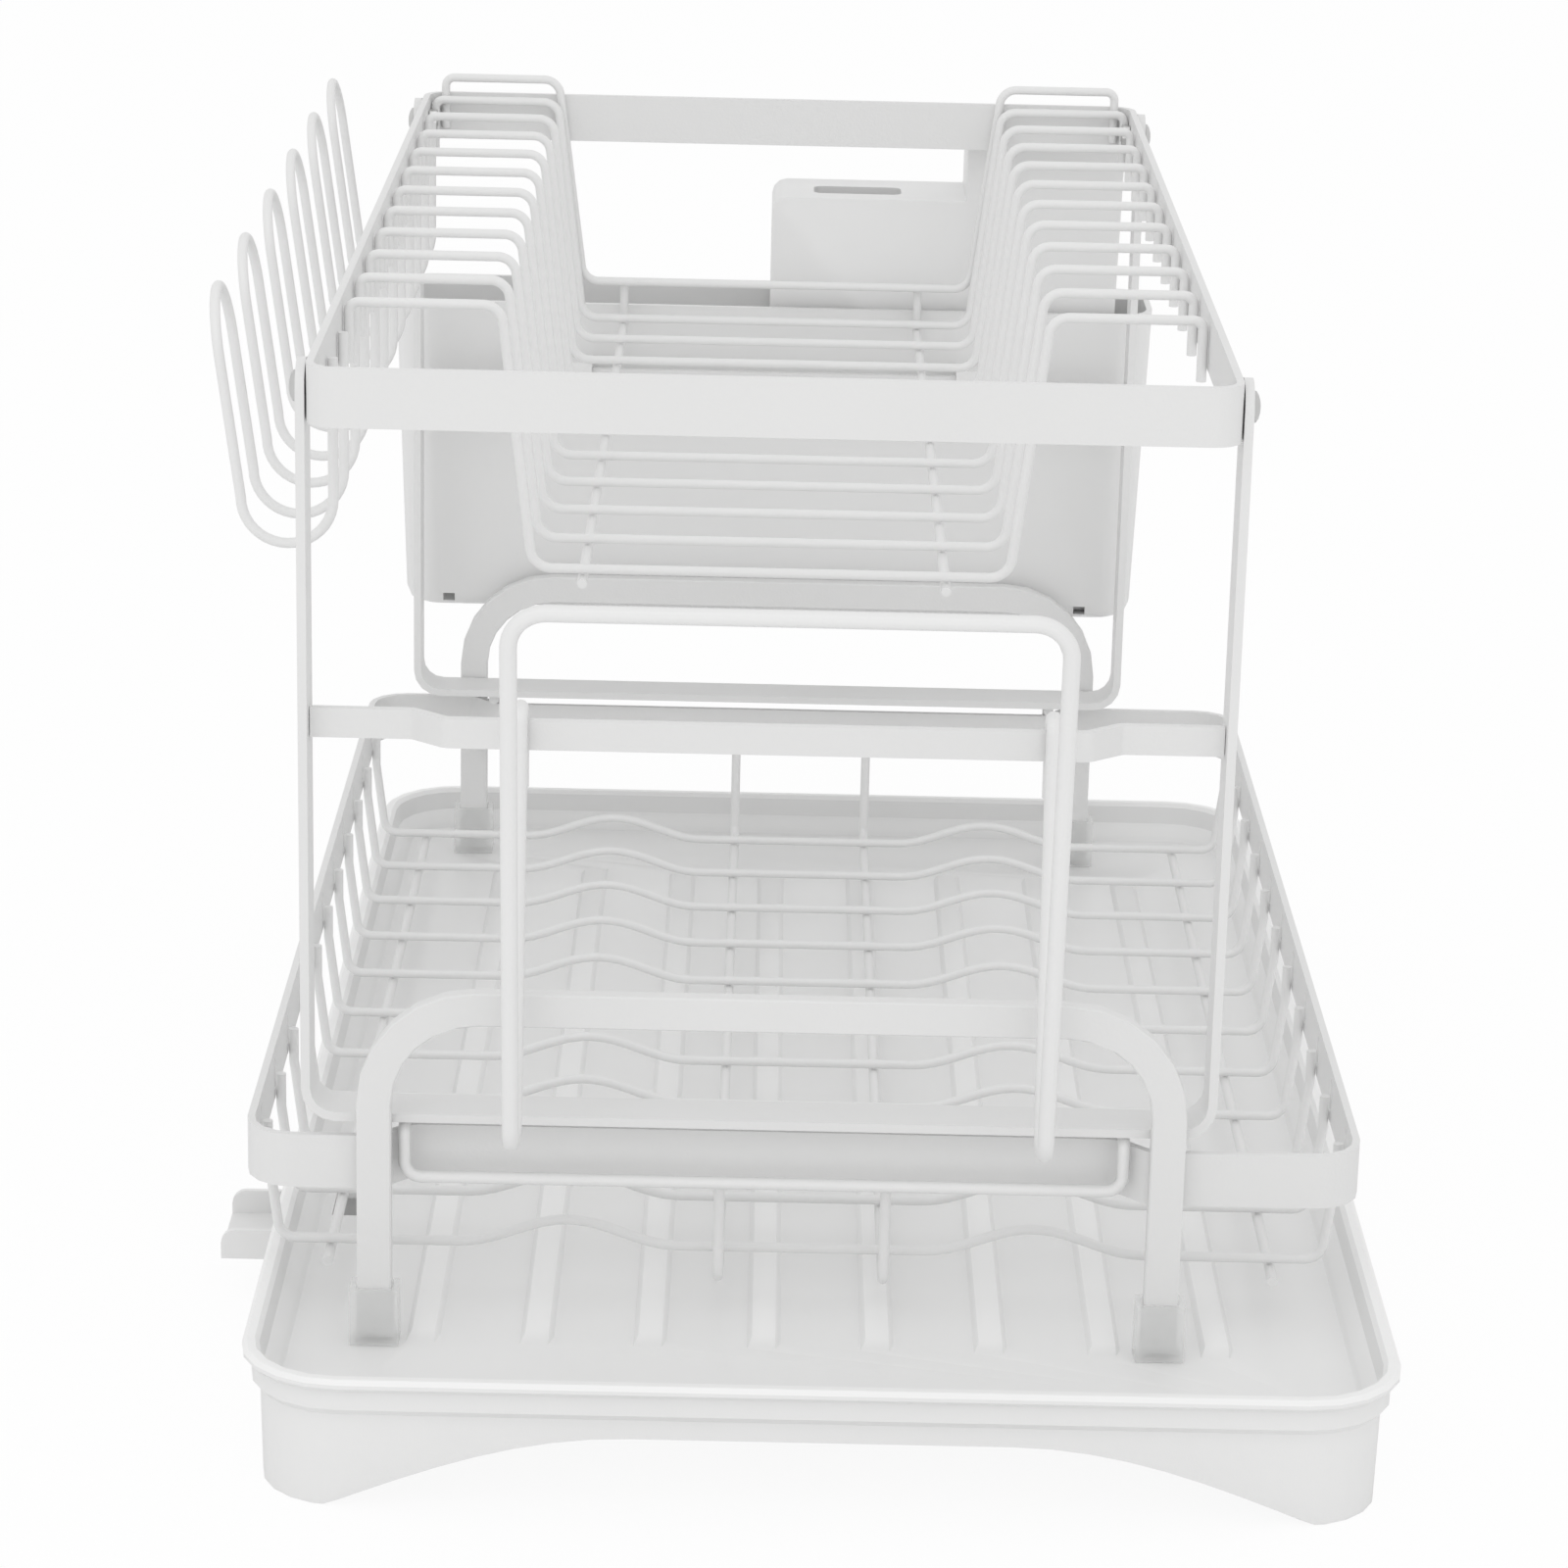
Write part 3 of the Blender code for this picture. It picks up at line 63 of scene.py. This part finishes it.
# Wire diameters, bends and the places that a piece's box doesn't tell, in metres
WIRE = 0.0028
LONG_WIRE = 0.003
CLIP_WIRE = 0.0033
HOLDER_WIRE = 0.0044
SIX_SIDED = math.cos(math.pi / 6)
BEND_STEPS = 10
HUMP_STEPS = 24
WIRE_ROUNDNESS = 4
CROSS_SHOULDER = 0.066
CROSS_LEAN = 0.0031
CROSS_BEND = 0.005
HUMP_RISE = 0.007
HUMP_CENTRE = 0.064
HUMP_HALF = 0.030
LONG_BEND = 0.004
DISH_TAIL = 0.0168
DISH_FLOOR_HALF = 0.0655
DISH_SHOULDER_HALF = 0.0745
DISH_FLOOR_BEND = 0.006
DISH_SHOULDER_BEND = 0.0055
RUNNER_BEND = 0.003
CLIP_BEND = 0.0045
HOLDER_TAIL = 0.022
HOLDER_HOOK_SPAN = 0.0078
HOLDER_HOOK_BEND = 0.0023
HOLDER_HOOK_DROP = 0.0103
HOLDER_HOOK_TOP = 0.203
HOLDER_BACK_REACH = 0.040
HOLDER_U_WIDTH = 0.016
HOLDER_U_BEND = 0.0077
HOLDER_BAR_BEND = 0.0095
HOOK_ARC = 0.0122
HOOK_TAIL = 0.009

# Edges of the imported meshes: which bars get a rounding, and what is shaded smooth
ROUNDED_BARS = ("crossbar_near", "crossbar_far", "leg_frame_near", "leg_frame_far")
BAR_ROUNDING = 0.00035
ROUNDING_STEPS = 2
ROUNDED_ABOVE = math.radians(50)
SHARP_ABOVE = math.radians(32)
WELD_DISTANCE = 0.00001

# Camera, fitted to the photograph
CAMERA_PLACE = Vector((-0.0104, -1.38451, 0.56136))
CAMERA_LENS = 109.35
CAMERA_SENSOR = 36.0
CAMERA_PITCH = math.radians(17.690)
CAMERA_YAW = math.radians(0.291)
CAMERA_ROLL = math.radians(1.352)

# Studio: two softboxes in front, an even world, and a floor that is mostly white to the camera
FLOOR_HALF = 8.0
FLOOR_DROP = 0.0002
FLOOR_COLOUR = (0.93, 0.93, 0.93, 1.0)
FLOOR_ROUGHNESS = 0.9
FLOOR_WHITE_SHARE = 0.93
KEY_PLACE = (-0.5, -1.5, 1.9)
KEY_SIZE = 1.6
KEY_POWER = 5.5
FRONT_PLACE = (0.3, -2.6, 0.7)
FRONT_SIZE = 1.8
FRONT_POWER = 4.0
WORLD_LEVEL = 0.90

# Colours of the finishes
COAT_COLOUR = (0.765, 0.765, 0.762, 1.0)
# The wires carry the bands' white coat painted lighter, a painted highlight that makes up for shade on
# the round wires
WIRE_PAINTED_LIGHT_COLOUR = (0.80, 0.80, 0.797, 1.0)
PLASTIC_COLOUR = (0.81, 0.81, 0.807, 1.0)
CAP_COLOUR = (0.86, 0.865, 0.86, 1.0)
STEEL_COLOUR = (0.66, 0.66, 0.655, 1.0)
CAP_ALPHA = 0.34
CAP_IOR = 1.49

# Skins: colour drift, grain scale per metre, smooth and rough ends of the roughness, relief in metres
COAT_SKIN = (0.03, 1100.0, 0.36, 0.52, 0.00005)
PLASTIC_SKIN = (0.025, 2200.0, 0.30, 0.42, 0.00002)
CAP_SKIN = (0.05, 700.0, 0.08, 0.22, 0.00003)
STEEL_SKIN = (0.2, 2600.0, 0.18, 0.42, 0.00002)
DRIFT_SCALE = 22.0
GRAIN_DETAIL = 2.0
DRIFT_DETAIL = 4.0

# Painted light on the tray: its colour is scaled by height where it faces up, the floor least (painted
# shade between the ribs), the ribs, ledge and rim most (painted highlight)
TRAY_FLOOR_HEIGHT = 0.0252
TRAY_RIB_RISE = 0.0022
# Colour factors of the painted shade on the floor and the painted highlight on the ribs, ledge and rim
TRAY_FLOOR_PAINTED_LIGHT = 1.015
TRAY_RIB_PAINTED_HIGHLIGHT = 1.075
UPWARD_FROM = 0.2
UPWARD_TO = 0.6


def group_tree(name, inputs, outputs):
    """An empty shader group with its named sockets; inputs carry a type and a default."""
    tree = bpy.data.node_groups.new(name, "ShaderNodeTree")
    for label, kind, value in inputs:
        socket = tree.interface.new_socket(label, in_out="INPUT", socket_type=kind)
        socket.default_value = value
    for label, kind in outputs:
        tree.interface.new_socket(label, in_out="OUTPUT", socket_type=kind)
    return tree


def noise_node(tree, coordinate, scale, detail):
    node = tree.nodes.new("ShaderNodeTexNoise")
    node.inputs["Detail"].default_value = detail
    tree.links.new(coordinate, node.inputs["Vector"])
    tree.links.new(scale, node.inputs["Scale"])
    return node.outputs["Fac"]


def ranged(tree, value, low, high):
    """Spreads a 0 to 1 value between two sockets."""
    node = tree.nodes.new("ShaderNodeMapRange")
    tree.links.new(value, node.inputs["Value"])
    tree.links.new(low, node.inputs["To Min"])
    tree.links.new(high, node.inputs["To Max"])
    return node.outputs["Result"]


def make_surface_group():
    """Fine texture of a coated or moulded skin: its colour drift, its roughness and its height."""
    drift_share, grain_scale, smooth, rough, _ = COAT_SKIN
    tree = group_tree(
        "skin_texture",
        [("Colour", "NodeSocketColor", COAT_COLOUR),
         ("Drift", "NodeSocketFloat", drift_share),
         ("Drift Scale", "NodeSocketFloat", DRIFT_SCALE),
         ("Grain Scale", "NodeSocketFloat", grain_scale),
         ("Smooth", "NodeSocketFloat", smooth),
         ("Rough", "NodeSocketFloat", rough)],
        [("Colour", "NodeSocketColor"), ("Roughness", "NodeSocketFloat"), ("Height", "NodeSocketFloat")])
    source = tree.nodes.new("NodeGroupInput").outputs
    result = tree.nodes.new("NodeGroupOutput").inputs
    place = tree.nodes.new("ShaderNodeTexCoord").outputs["Object"]
    grain = noise_node(tree, place, source["Grain Scale"], GRAIN_DETAIL)
    drift = noise_node(tree, place, source["Drift Scale"], DRIFT_DETAIL)
    darken = tree.nodes.new("ShaderNodeMath")
    darken.operation = "MULTIPLY"
    tree.links.new(drift, darken.inputs[0])
    tree.links.new(source["Drift"], darken.inputs[1])
    keep = tree.nodes.new("ShaderNodeMath")
    keep.operation = "SUBTRACT"
    keep.inputs[0].default_value = 1.0
    tree.links.new(darken.outputs[0], keep.inputs[1])
    shade = tree.nodes.new("ShaderNodeVectorMath")
    shade.operation = "SCALE"
    tree.links.new(source["Colour"], shade.inputs[0])
    tree.links.new(keep.outputs[0], shade.inputs["Scale"])
    tree.links.new(shade.outputs[0], result["Colour"])
    tree.links.new(ranged(tree, drift, source["Smooth"], source["Rough"]), result["Roughness"])
    tree.links.new(grain, result["Height"])
    return tree


def skinned_material(name, colour, skin_values):
    """A Principled material whose colour, roughness and bump come from the skin texture."""
    drift, grain_scale, smooth, rough, relief = skin_values
    material = bpy.data.materials.new(name)
    material.use_nodes = True
    nodes = material.node_tree.nodes
    links = material.node_tree.links
    shader = nodes["Principled BSDF"]
    skin = nodes.new("ShaderNodeGroup")
    skin.node_tree = SKIN
    skin.inputs["Colour"].default_value = colour
    skin.inputs["Drift"].default_value = drift
    skin.inputs["Grain Scale"].default_value = grain_scale
    skin.inputs["Smooth"].default_value = smooth
    skin.inputs["Rough"].default_value = rough
    bump = nodes.new("ShaderNodeBump")
    bump.inputs["Distance"].default_value = relief
    links.new(skin.outputs["Height"], bump.inputs["Height"])
    links.new(bump.outputs["Normal"], shader.inputs["Normal"])
    links.new(skin.outputs["Colour"], shader.inputs["Base Color"])
    links.new(skin.outputs["Roughness"], shader.inputs["Roughness"])
    return material


def make_finishes():
    """The finish of each of the record's slots."""
    coat = skinned_material("white_powder_coat", COAT_COLOUR, COAT_SKIN)
    plastic = skinned_material("white_plastic", PLASTIC_COLOUR, PLASTIC_SKIN)
    clear = skinned_material("clear_plastic", CAP_COLOUR, CAP_SKIN)
    shader = clear.node_tree.nodes["Principled BSDF"]
    shader.inputs["Alpha"].default_value = CAP_ALPHA
    shader.inputs["IOR"].default_value = CAP_IOR
    steel = skinned_material("screw_steel", STEEL_COLOUR, STEEL_SKIN)
    steel.node_tree.nodes["Principled BSDF"].inputs["Metallic"].default_value = 1.0
    return {"white_powder_coat": coat, "white_plastic": plastic,
            "clear_plastic": clear, "screw_steel": steel}


def make_tray_painted_light_group():
    """A factor of painted light for the tray's colour: by height on what faces up, a painted highlight on
    rib tops, ledge and rim over painted shade on the floor between the ribs, and 1 on the skirt and
    below.
    """
    tree = group_tree("painted_light_on_tray", [], [("Shade", "NodeSocketFloat")])
    result = tree.nodes.new("NodeGroupOutput").inputs
    place = tree.nodes.new("ShaderNodeTexCoord").outputs
    heights = tree.nodes.new("ShaderNodeSeparateXYZ")
    tree.links.new(place["Object"], heights.inputs[0])
    facing = tree.nodes.new("ShaderNodeSeparateXYZ")
    tree.links.new(place["Normal"], facing.inputs[0])
    rise = tree.nodes.new("ShaderNodeMapRange")
    rise.interpolation_type = "SMOOTHSTEP"
    rise.inputs["From Min"].default_value = TRAY_FLOOR_HEIGHT
    rise.inputs["From Max"].default_value = TRAY_FLOOR_HEIGHT + TRAY_RIB_RISE
    rise.inputs["To Min"].default_value = TRAY_FLOOR_PAINTED_LIGHT
    rise.inputs["To Max"].default_value = TRAY_RIB_PAINTED_HIGHLIGHT
    tree.links.new(heights.outputs["Z"], rise.inputs["Value"])
    upward = tree.nodes.new("ShaderNodeMapRange")
    upward.inputs["From Min"].default_value = UPWARD_FROM
    upward.inputs["From Max"].default_value = UPWARD_TO
    upward.inputs["To Min"].default_value = 1.0
    tree.links.new(facing.outputs["Z"], upward.inputs["Value"])
    tree.links.new(rise.outputs["Result"], upward.inputs["To Max"])
    tree.links.new(upward.outputs["Result"], result["Shade"])
    return tree


def make_tray_painted_light_finish():
    """The moulded plastic again, with its colour scaled by the tray's painted highlight and painted
    shade.
    """
    material = skinned_material("tray_plastic_painted_light", PLASTIC_COLOUR, PLASTIC_SKIN)
    nodes = material.node_tree.nodes
    links = material.node_tree.links
    colour = nodes["Principled BSDF"].inputs["Base Color"]
    shade = nodes.new("ShaderNodeGroup")
    shade.node_tree = make_tray_painted_light_group()
    scaled = nodes.new("ShaderNodeVectorMath")
    scaled.operation = "SCALE"
    links.new(colour.links[0].from_socket, scaled.inputs[0])
    links.new(shade.outputs["Shade"], scaled.inputs["Scale"])
    links.new(scaled.outputs[0], colour)
    return material


def make_soft_edge_group():
    """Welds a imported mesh, drops its stored normals and shades it smooth below a sharp angle."""
    tree = bpy.data.node_groups.new("smooth_skin", "GeometryNodeTree")
    tree.interface.new_socket("Geometry", in_out="INPUT", socket_type="NodeSocketGeometry")
    tree.interface.new_socket("Geometry", in_out="OUTPUT", socket_type="NodeSocketGeometry")
    source = tree.nodes.new("NodeGroupInput")
    result = tree.nodes.new("NodeGroupOutput")
    merge = tree.nodes.new("GeometryNodeMergeByDistance")
    merge.inputs["Distance"].default_value = WELD_DISTANCE
    drop = tree.nodes.new("GeometryNodeRemoveAttribute")
    drop.inputs["Name"].default_value = "custom_normal"
    faces = tree.nodes.new("GeometryNodeSetShadeSmooth")
    faces.domain = "FACE"
    faces.inputs["Shade Smooth"].default_value = True
    angle = tree.nodes.new("GeometryNodeInputMeshEdgeAngle")
    sharp = tree.nodes.new("FunctionNodeCompare")
    sharp.data_type = "FLOAT"
    sharp.operation = "GREATER_THAN"
    sharp.inputs["B"].default_value = SHARP_ABOVE
    edges = tree.nodes.new("GeometryNodeSetShadeSmooth")
    edges.domain = "EDGE"
    edges.inputs["Shade Smooth"].default_value = False
    links = tree.links
    links.new(source.outputs[0], merge.inputs["Geometry"])
    links.new(merge.outputs["Geometry"], drop.inputs["Geometry"])
    links.new(drop.outputs["Geometry"], faces.inputs["Geometry"])
    links.new(faces.outputs["Geometry"], edges.inputs["Geometry"])
    links.new(angle.outputs["Unsigned Angle"], sharp.inputs["A"])
    links.new(sharp.outputs["Result"], edges.inputs["Selection"])
    links.new(edges.outputs["Geometry"], result.inputs[0])
    return tree


def dress_nodes():
    """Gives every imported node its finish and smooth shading, and the flat bars a small rounding."""
    for name, node in frame["nodes"].items():
        # The drain tray takes the plastic with a painted highlight on its ribs, ledge and rim and painted
        # shade on its floor
        finish = TRAY_PAINTED_LIGHT_FINISH if name == "drain_tray" else FINISHES[SLOT_OF_NODE[name]]
        node.data.materials.clear()
        node.data.materials.append(finish)
        if name in ROUNDED_BARS:
            rounding = node.modifiers.new("rounding", "BEVEL")
            rounding.width = BAR_ROUNDING
            rounding.segments = ROUNDING_STEPS
            rounding.limit_method = "ANGLE"
            rounding.angle_limit = ROUNDED_ABOVE
            rounding.use_clamp_overlap = True
        skin = node.modifiers.new("smooth_skin", "NODES")
        skin.node_group = SMOOTH


def mirrored(points, axis=0):
    """Points of a half, followed by their mirror images in reverse order."""
    flipped = []
    for point in reversed(points):
        copy = Vector(point)
        copy[axis] = -copy[axis]
        flipped.append(copy)
    return [Vector(point) for point in points] + flipped


def rounded_path(points, radii):
    """Replaces the inner corners of a polyline by arcs, with one radius for each of its points."""
    points = [Vector(point) for point in points]
    path = [points[0]]
    for before_corner, corner, after_corner, radius in zip(points, points[1:], points[2:], radii[1:]):
        before = (before_corner - corner).normalized()
        after = (after_corner - corner).normalized()
        half_angle = before.angle(after) / 2
        centre = corner + (before + after).normalized() * radius / math.sin(half_angle)
        start = corner + before * radius / math.tan(half_angle) - centre
        end = corner + after * radius / math.tan(half_angle) - centre
        side = start.cross(end).normalized().cross(start)
        for step in range(BEND_STEPS + 1):
            angle = (math.pi - 2 * half_angle) * step / BEND_STEPS
            path.append(centre + start * math.cos(angle) + side * math.sin(angle))
    path.append(points[-1])
    return path


def round_wire(node, place, points, diameter):
    """A smooth round wire in place of a packed one, riding with its body."""
    curve = bpy.data.curves.new(node + "_round", "CURVE")
    curve.dimensions = "3D"
    curve.bevel_depth = diameter / 2
    curve.bevel_resolution = WIRE_ROUNDNESS
    curve.use_fill_caps = True
    spline = curve.splines.new("POLY")
    spline.points.add(len(points) - 1)
    for slot, point in zip(spline.points, points):
        slot.co = (*point, 1.0)
    # Every round wire takes the white coat painted lighter, as painted light
    curve.materials.append(WIRE_PAINTED_LIGHT_FINISH)
    piece = bpy.data.objects.new(node + "_round", curve)
    piece.location = place
    bpy.context.scene.collection.objects.link(piece)
    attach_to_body(piece, BODY_OF_NODE[node])
    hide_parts(node)


def named_nodes(start):
    return sorted(name for name in frame["nodes"] if name.startswith(start))


def cross_wires():
    """Basket wires: down from the band, in to the floor and over two low humps."""
    radius = WIRE / 2
    for node in named_nodes("cross_wire"):
        low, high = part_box(node)
        end = (high.x - low.x) / 2 - radius
        floor = low.z + radius
        half = rounded_path([(-end, 0, high.z), (-end, 0, CROSS_SHOULDER), (CROSS_LEAN - end, 0, floor),
                             (-HUMP_CENTRE - HUMP_HALF, 0, floor)], [0, CROSS_BEND, CROSS_BEND, 0])
        for step in range(1, HUMP_STEPS + 1):
            share = step / HUMP_STEPS
            half.append(Vector((-HUMP_CENTRE + HUMP_HALF * (2 * share - 1), 0,
                                floor + HUMP_RISE * (1 - math.cos(2 * math.pi * share)) / 2)))
        round_wire(node, ((low.x + high.x) / 2, (low.y + high.y) / 2, 0), mirrored(half), WIRE)


def long_wires():
    """Lengthwise floor wires: the inner pair turns up the end bands, the outer pair is straight."""
    radius = LONG_WIRE / 2
    for node in named_nodes("long_wire"):
        low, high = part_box(node)
        floor = low.z + radius * SIX_SIDED
        place = ((low.x + high.x) / 2, (low.y + high.y) / 2, 0)
        half = (high.y - low.y) / 2
        if "inner" in node:
            end = half - radius * SIX_SIDED
            points = mirrored(rounded_path([(0, -end, high.z), (0, -end, floor), (0, 0, floor)],
                                           [0, LONG_BEND, 0])[:-1], axis=1)
        else:
            points = [(0, -half, floor), (0, half, floor)]
        round_wire(node, place, points, LONG_WIRE)


def dish_wires():
    """Dish wires: up beside the band, in along a level shoulder, down a leaning leg and across."""
    radius = WIRE / 2
    for node in named_nodes("dish_wire"):
        low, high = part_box(node)
        end = (high.x - low.x) / 2 - radius
        floor = low.z + radius
        shoulder = high.z - radius
        half = rounded_path([(-end, 0, shoulder - DISH_TAIL), (-end, 0, shoulder),
                             (-DISH_SHOULDER_HALF, 0, shoulder), (-DISH_FLOOR_HALF, 0, floor),
                             (0, 0, floor)], [0, WIRE, DISH_SHOULDER_BEND, DISH_FLOOR_BEND, 0])
        round_wire(node, ((low.x + high.x) / 2, (low.y + high.y) / 2, 0), mirrored(half[:-1]), WIRE)


def runner_wires():
    """The two wires under the dish wires, with upturned far ends."""
    radius = WIRE / 2
    for node in named_nodes("runner"):
        low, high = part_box(node)
        floor = low.z + radius * SIX_SIDED
        far = high.y - radius * SIX_SIDED
        points = rounded_path([(0, low.y, floor), (0, far, floor), (0, far, high.z)], [0, RUNNER_BEND, 0])
        round_wire(node, ((low.x + high.x) / 2, 0, 0), points, WIRE)


def clip_loops():
    """Loops that hang outside the basket's recessed bands, with their ends under the leg frames."""
    radius = CLIP_WIRE / 2
    for node, side in (("clip_loop_near", -1), ("clip_loop_far", 1)):
        low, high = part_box(node)
        half = (high.x - low.x) / 2 - radius
        outer = (low.y if side < 0 else high.y) - side * radius * SIX_SIDED
        tail = high.y if side < 0 else low.y
        top = high.z - radius * SIX_SIDED
        bottom = low.z + radius
        points = rounded_path([(-half, tail, top), (-half, outer, top), (-half, outer, bottom),
                               (half, outer, bottom), (half, outer, top), (half, tail, top)],
                              [0, CLIP_WIRE, CLIP_BEND, CLIP_BEND, CLIP_WIRE, 0])
        round_wire(node, ((low.x + high.x) / 2, 0, 0), points, CLIP_WIRE)


def board_holder():
    """One rod: two hooks over the near crossbar, two U-shaped prongs and the bar that joins them."""
    radius = HOLDER_WIRE / 2
    low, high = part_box("board_holder")
    half_width = (high.x - low.x) / 2 - radius
    inner = high.y - radius * SIX_SIDED
    outer = inner - HOLDER_HOOK_SPAN
    top_y = low.y + radius * SIX_SIDED
    back = top_y + HOLDER_BACK_REACH
    bottom = low.z + radius
    half = rounded_path([
        (-half_width, inner, HOLDER_HOOK_TOP - HOLDER_TAIL),
        (-half_width, inner, HOLDER_HOOK_TOP),
        (-half_width, outer, HOLDER_HOOK_TOP),
        (-half_width, outer, HOLDER_HOOK_TOP - HOLDER_HOOK_DROP),
        (-half_width, back, bottom),
        (-half_width, back - HOLDER_U_WIDTH, bottom),
        (-half_width, top_y, high.z - radius),
        (0, top_y, high.z - radius),
    ], [0, HOLDER_HOOK_BEND, HOLDER_HOOK_BEND, HOLDER_HOOK_BEND, HOLDER_U_BEND, HOLDER_U_BEND,
        HOLDER_BAR_BEND, 0])
    round_wire("board_holder", ((low.x + high.x) / 2, 0, 0), mirrored(half[:-1]), HOLDER_WIRE)


def cup_hooks():
    """Hairpins: two legs welded inside the band, swept down and out, joined by a round top."""
    radius = WIRE / 2
    for node in named_nodes("cup_hook"):
        low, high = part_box(node)
        attach = high.x - radius
        top_x = low.x + radius
        top_z = high.z - radius
        hairpin = (high.y - low.y) / 2 - radius * SIX_SIDED
        arc_x = attach - HOOK_ARC
        arc_z = low.z + radius + HOOK_ARC
        points = [Vector((attach, hairpin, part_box("upper_band")[0].z + HOOK_TAIL))]
        for step in range(2 * BEND_STEPS + 1):
            angle = -math.pi * step / (2 * BEND_STEPS)
            points.append(Vector((arc_x + HOOK_ARC * math.cos(angle), hairpin,
                                  arc_z + HOOK_ARC * math.sin(angle))))
        side_x = arc_x - HOOK_ARC
        for step in range(BEND_STEPS):
            angle = math.pi / 2 * step / BEND_STEPS
            height = top_z - hairpin + hairpin * math.sin(angle)
            share = (height - arc_z) / (top_z - arc_z)
            points.append(Vector((side_x + (top_x - side_x) * share, hairpin * math.cos(angle), height)))
        points.append(Vector((top_x, 0, top_z)))
        full = mirrored(points[:-1], axis=1)
        full.insert(len(points) - 1, points[-1])
        round_wire(node, (0, (low.y + high.y) / 2, 0), full, WIRE)


def make_floor():
    """A pale floor that reads white to the camera and still takes the rack's soft shadow."""
    data = bpy.data.meshes.new("floor")
    corners = [(-FLOOR_HALF, -FLOOR_HALF, 0), (FLOOR_HALF, -FLOOR_HALF, 0),
               (FLOOR_HALF, FLOOR_HALF, 0), (-FLOOR_HALF, FLOOR_HALF, 0)]
    data.from_pydata(corners, [], [(0, 1, 2, 3)])
    floor = bpy.data.objects.new("floor", data)
    floor.location.z = -FLOOR_DROP
    bpy.context.scene.collection.objects.link(floor)
    material = bpy.data.materials.new("floor_paper")
    material.use_nodes = True
    nodes = material.node_tree.nodes
    links = material.node_tree.links
    shader = nodes["Principled BSDF"]
    shader.inputs["Base Color"].default_value = FLOOR_COLOUR
    shader.inputs["Roughness"].default_value = FLOOR_ROUGHNESS
    shader.inputs["Specular IOR Level"].default_value = 0.0
    glow = nodes.new("ShaderNodeEmission")
    glow.inputs["Strength"].default_value = 1.0
    path = nodes.new("ShaderNodeLightPath")
    seen = nodes.new("ShaderNodeMath")
    seen.operation = "MAXIMUM"
    links.new(path.outputs["Is Camera Ray"], seen.inputs[0])
    links.new(path.outputs["Is Transmission Ray"], seen.inputs[1])
    share = nodes.new("ShaderNodeMath")
    share.operation = "MULTIPLY"
    share.inputs[1].default_value = FLOOR_WHITE_SHARE
    links.new(seen.outputs[0], share.inputs[0])
    mix = nodes.new("ShaderNodeMixShader")
    links.new(share.outputs[0], mix.inputs["Fac"])
    links.new(shader.outputs[0], mix.inputs[1])
    links.new(glow.outputs[0], mix.inputs[2])
    links.new(mix.outputs[0], nodes["Material Output"].inputs["Surface"])
    data.materials.append(material)


def soft_lamp(name, place, size, power):
    """A large square softbox that looks at the rack's middle."""
    data = bpy.data.lights.new(name, "AREA")
    data.shape = "SQUARE"
    data.size = size
    data.energy = power
    lamp = bpy.data.objects.new(name, data)
    lamp.location = place
    aim = Vector((0, 0, MODEL_BOX[1][2] / 2)) - Vector(place)
    lamp.rotation_euler = aim.to_track_quat("-Z", "Y").to_euler()
    bpy.context.scene.collection.objects.link(lamp)


def light_studio():
    """Two softboxes, and a world that is white to the camera and a little dimmer on the rack."""
    soft_lamp("key_softbox", KEY_PLACE, KEY_SIZE, KEY_POWER)
    soft_lamp("front_softbox", FRONT_PLACE, FRONT_SIZE, FRONT_POWER)
    world = bpy.data.worlds.new("studio")
    world.use_nodes = True
    nodes = world.node_tree.nodes
    backdrop = nodes["Background"]
    backdrop.inputs["Color"].default_value = (1, 1, 1, 1)
    path = nodes.new("ShaderNodeLightPath")
    level = nodes.new("ShaderNodeMapRange")
    level.inputs["To Min"].default_value = WORLD_LEVEL
    level.inputs["To Max"].default_value = 1.0
    world.node_tree.links.new(path.outputs["Is Camera Ray"], level.inputs["Value"])
    world.node_tree.links.new(level.outputs["Result"], backdrop.inputs["Strength"])
    bpy.context.scene.world = world


def place_camera():
    """The fitted camera: turned by yaw, then pitch, then roll."""
    data = bpy.data.cameras.new("camera")
    data.lens = CAMERA_LENS
    data.sensor_width = CAMERA_SENSOR
    camera = bpy.data.objects.new("camera", data)
    turn = (Matrix.Rotation(-CAMERA_YAW, 4, "Z") @ Matrix.Rotation(math.pi / 2 - CAMERA_PITCH, 4, "X")
            @ Matrix.Rotation(CAMERA_ROLL, 4, "Z"))
    camera.matrix_world = Matrix.Translation(CAMERA_PLACE) @ turn
    bpy.context.scene.collection.objects.link(camera)
    bpy.context.scene.camera = camera


SLOT_OF_NODE = {part["node"]: part["material_slot"] for part in frame["record"]["subparts"]}
BODY_OF_NODE = {node: body
                for body, nodes in frame["record"]["behaviour"]["bodies"].items() for node in nodes}

SKIN = make_surface_group()
SMOOTH = make_soft_edge_group()
FINISHES = make_finishes()
# Tray plastic with a painted highlight on ribs, ledge and rim, and painted shade on the floor between the
# ribs
TRAY_PAINTED_LIGHT_FINISH = make_tray_painted_light_finish()
# The bands' white coat again, painted lighter for the wires as painted light
WIRE_PAINTED_LIGHT_FINISH = skinned_material("coated_wire_painted_light", WIRE_PAINTED_LIGHT_COLOUR, COAT_SKIN)
dress_nodes()
cross_wires()
long_wires()
dish_wires()
runner_wires()
clip_loops()
board_holder()
cup_hooks()
make_floor()
light_studio()
place_camera()

bpy.context.scene.view_settings.view_transform = "Standard"
